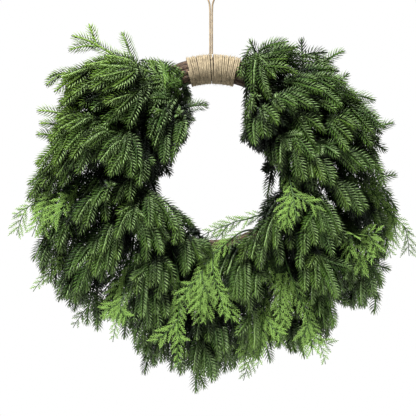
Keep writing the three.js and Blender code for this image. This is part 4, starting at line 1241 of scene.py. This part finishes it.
cedar_count = 0
for number, spray in enumerate(sprays):
    if spray["kind"] != "cedar":
        continue
    cedar_count += 1
    parts = []
    for shoot in (one for one in shoots if one["spray"] == number):
        line = shoot["line"]
        growth_and_shade = growth_and_shade_at(line[-1])
        fresh = np.clip(growth_and_shade["fresh"] + 0.25, 0, 1)
        main = shoot["rank"] == 0
        parts.append(stem_part(shoot, growth_and_shade["tone_and_painted_shade"], 1.8 if main else 0.9, 0.6, (0, 0.3, 0.6),
                               (0.9, 0.2, 0)))
        begin = max(shoot["start"], marks_of(line)[-1] - COVER["cedar"])
        branchlets = fan_on(line, begin, spray["facing"] if main else FRONT_WAY, fresh)
        for twigs, width in ((branchlets, 2.2), (forked(branchlets), 1.9)):
            if not len(twigs["length"]):
                continue
            made, newness, light = scales_on(twigs, width)
            # Painted shade: scales darker towards each branchlet's root and the deeper they lie, and less
            # yellow deep in the growth.
            deep = painted_shade_depth(made[:, 0])
            tone_and_painted_shade = growth_and_shade["tone_and_painted_shade"] + 0.15 + draw.normal(0, 0.1, len(made))
            tone_and_painted_shade = np.clip(tone_and_painted_shade * light * (1 - 0.8 * deep), 0, 1)
            parts.append(leaf_part(scale, made, tone_and_painted_shade, newness * (1 - 0.8 * deep)))
    gathered(f"cedar_{cedar_count:02d}", parts, cedar_green, "cedar_leaves",
             f"cedar_spray_{cedar_count:02d}")

# ---------------------------------------------------------------- floor and light
# A plain pale floor well below the wreath, a big soft light above the front and to the left, a faint
# one from the right, one behind, and a white surround.

floor_form = bmesh.new()
bmesh.ops.create_grid(floor_form, x_segments=1, y_segments=1, size=1.2)
bmesh.ops.translate(floor_form, vec=(0, 0, -1.0), verts=floor_form.verts)
floor_mesh = bpy.data.meshes.new("floor")
floor_form.to_mesh(floor_mesh)
floor_form.free()
floor = bpy.data.objects.new("floor", floor_mesh)
bpy.context.scene.collection.objects.link(floor)
pale = bpy.data.materials.new("pale_floor")
pale.use_nodes = True
pale.node_tree.nodes["Principled BSDF"].inputs["Base Color"].default_value = (0.85, 0.85, 0.85, 1)
pale.node_tree.nodes["Principled BSDF"].inputs["Roughness"].default_value = 0.8
floor_mesh.materials.append(pale)

# Name, place, size in metres and power in watts of each light.
LIGHTS = (("key", (-0.9, -1.75, 2.8), 1.0, 405), ("fill", (0.7, -1.8, 0.1), 1.0, 5),
          ("back", (0.5, 1.6, 0.7), 1.0, 36))
for name, place, size, power in LIGHTS:
    lamp = bpy.data.lights.new(name, "AREA")
    lamp.size = size
    lamp.energy = power
    light = bpy.data.objects.new(name, lamp)
    light.location = place
    aim = Vector((0, -0.03, -0.3)) - Vector(place)
    light.rotation_euler = aim.to_track_quat("-Z", "Y").to_euler()
    bpy.context.scene.collection.objects.link(light)

world = bpy.data.worlds.new("surround")
world.use_nodes = True
tree = world.node_tree
tree.nodes.clear()
seen = add(tree, "ShaderNodeLightPath").outputs["Is Camera Ray"]
strength = add(tree, "ShaderNodeMapRange", {0: seen, 3: 0.03, 4: 1.0})
sky = add(tree, "ShaderNodeBackground", {"Color": (1, 1, 1, 1), "Strength": strength.outputs[0]})
add(tree, "ShaderNodeOutputWorld", {"Surface": sky.outputs[0]})
bpy.context.scene.world = world
bpy.context.scene.view_settings.view_transform = "Standard"
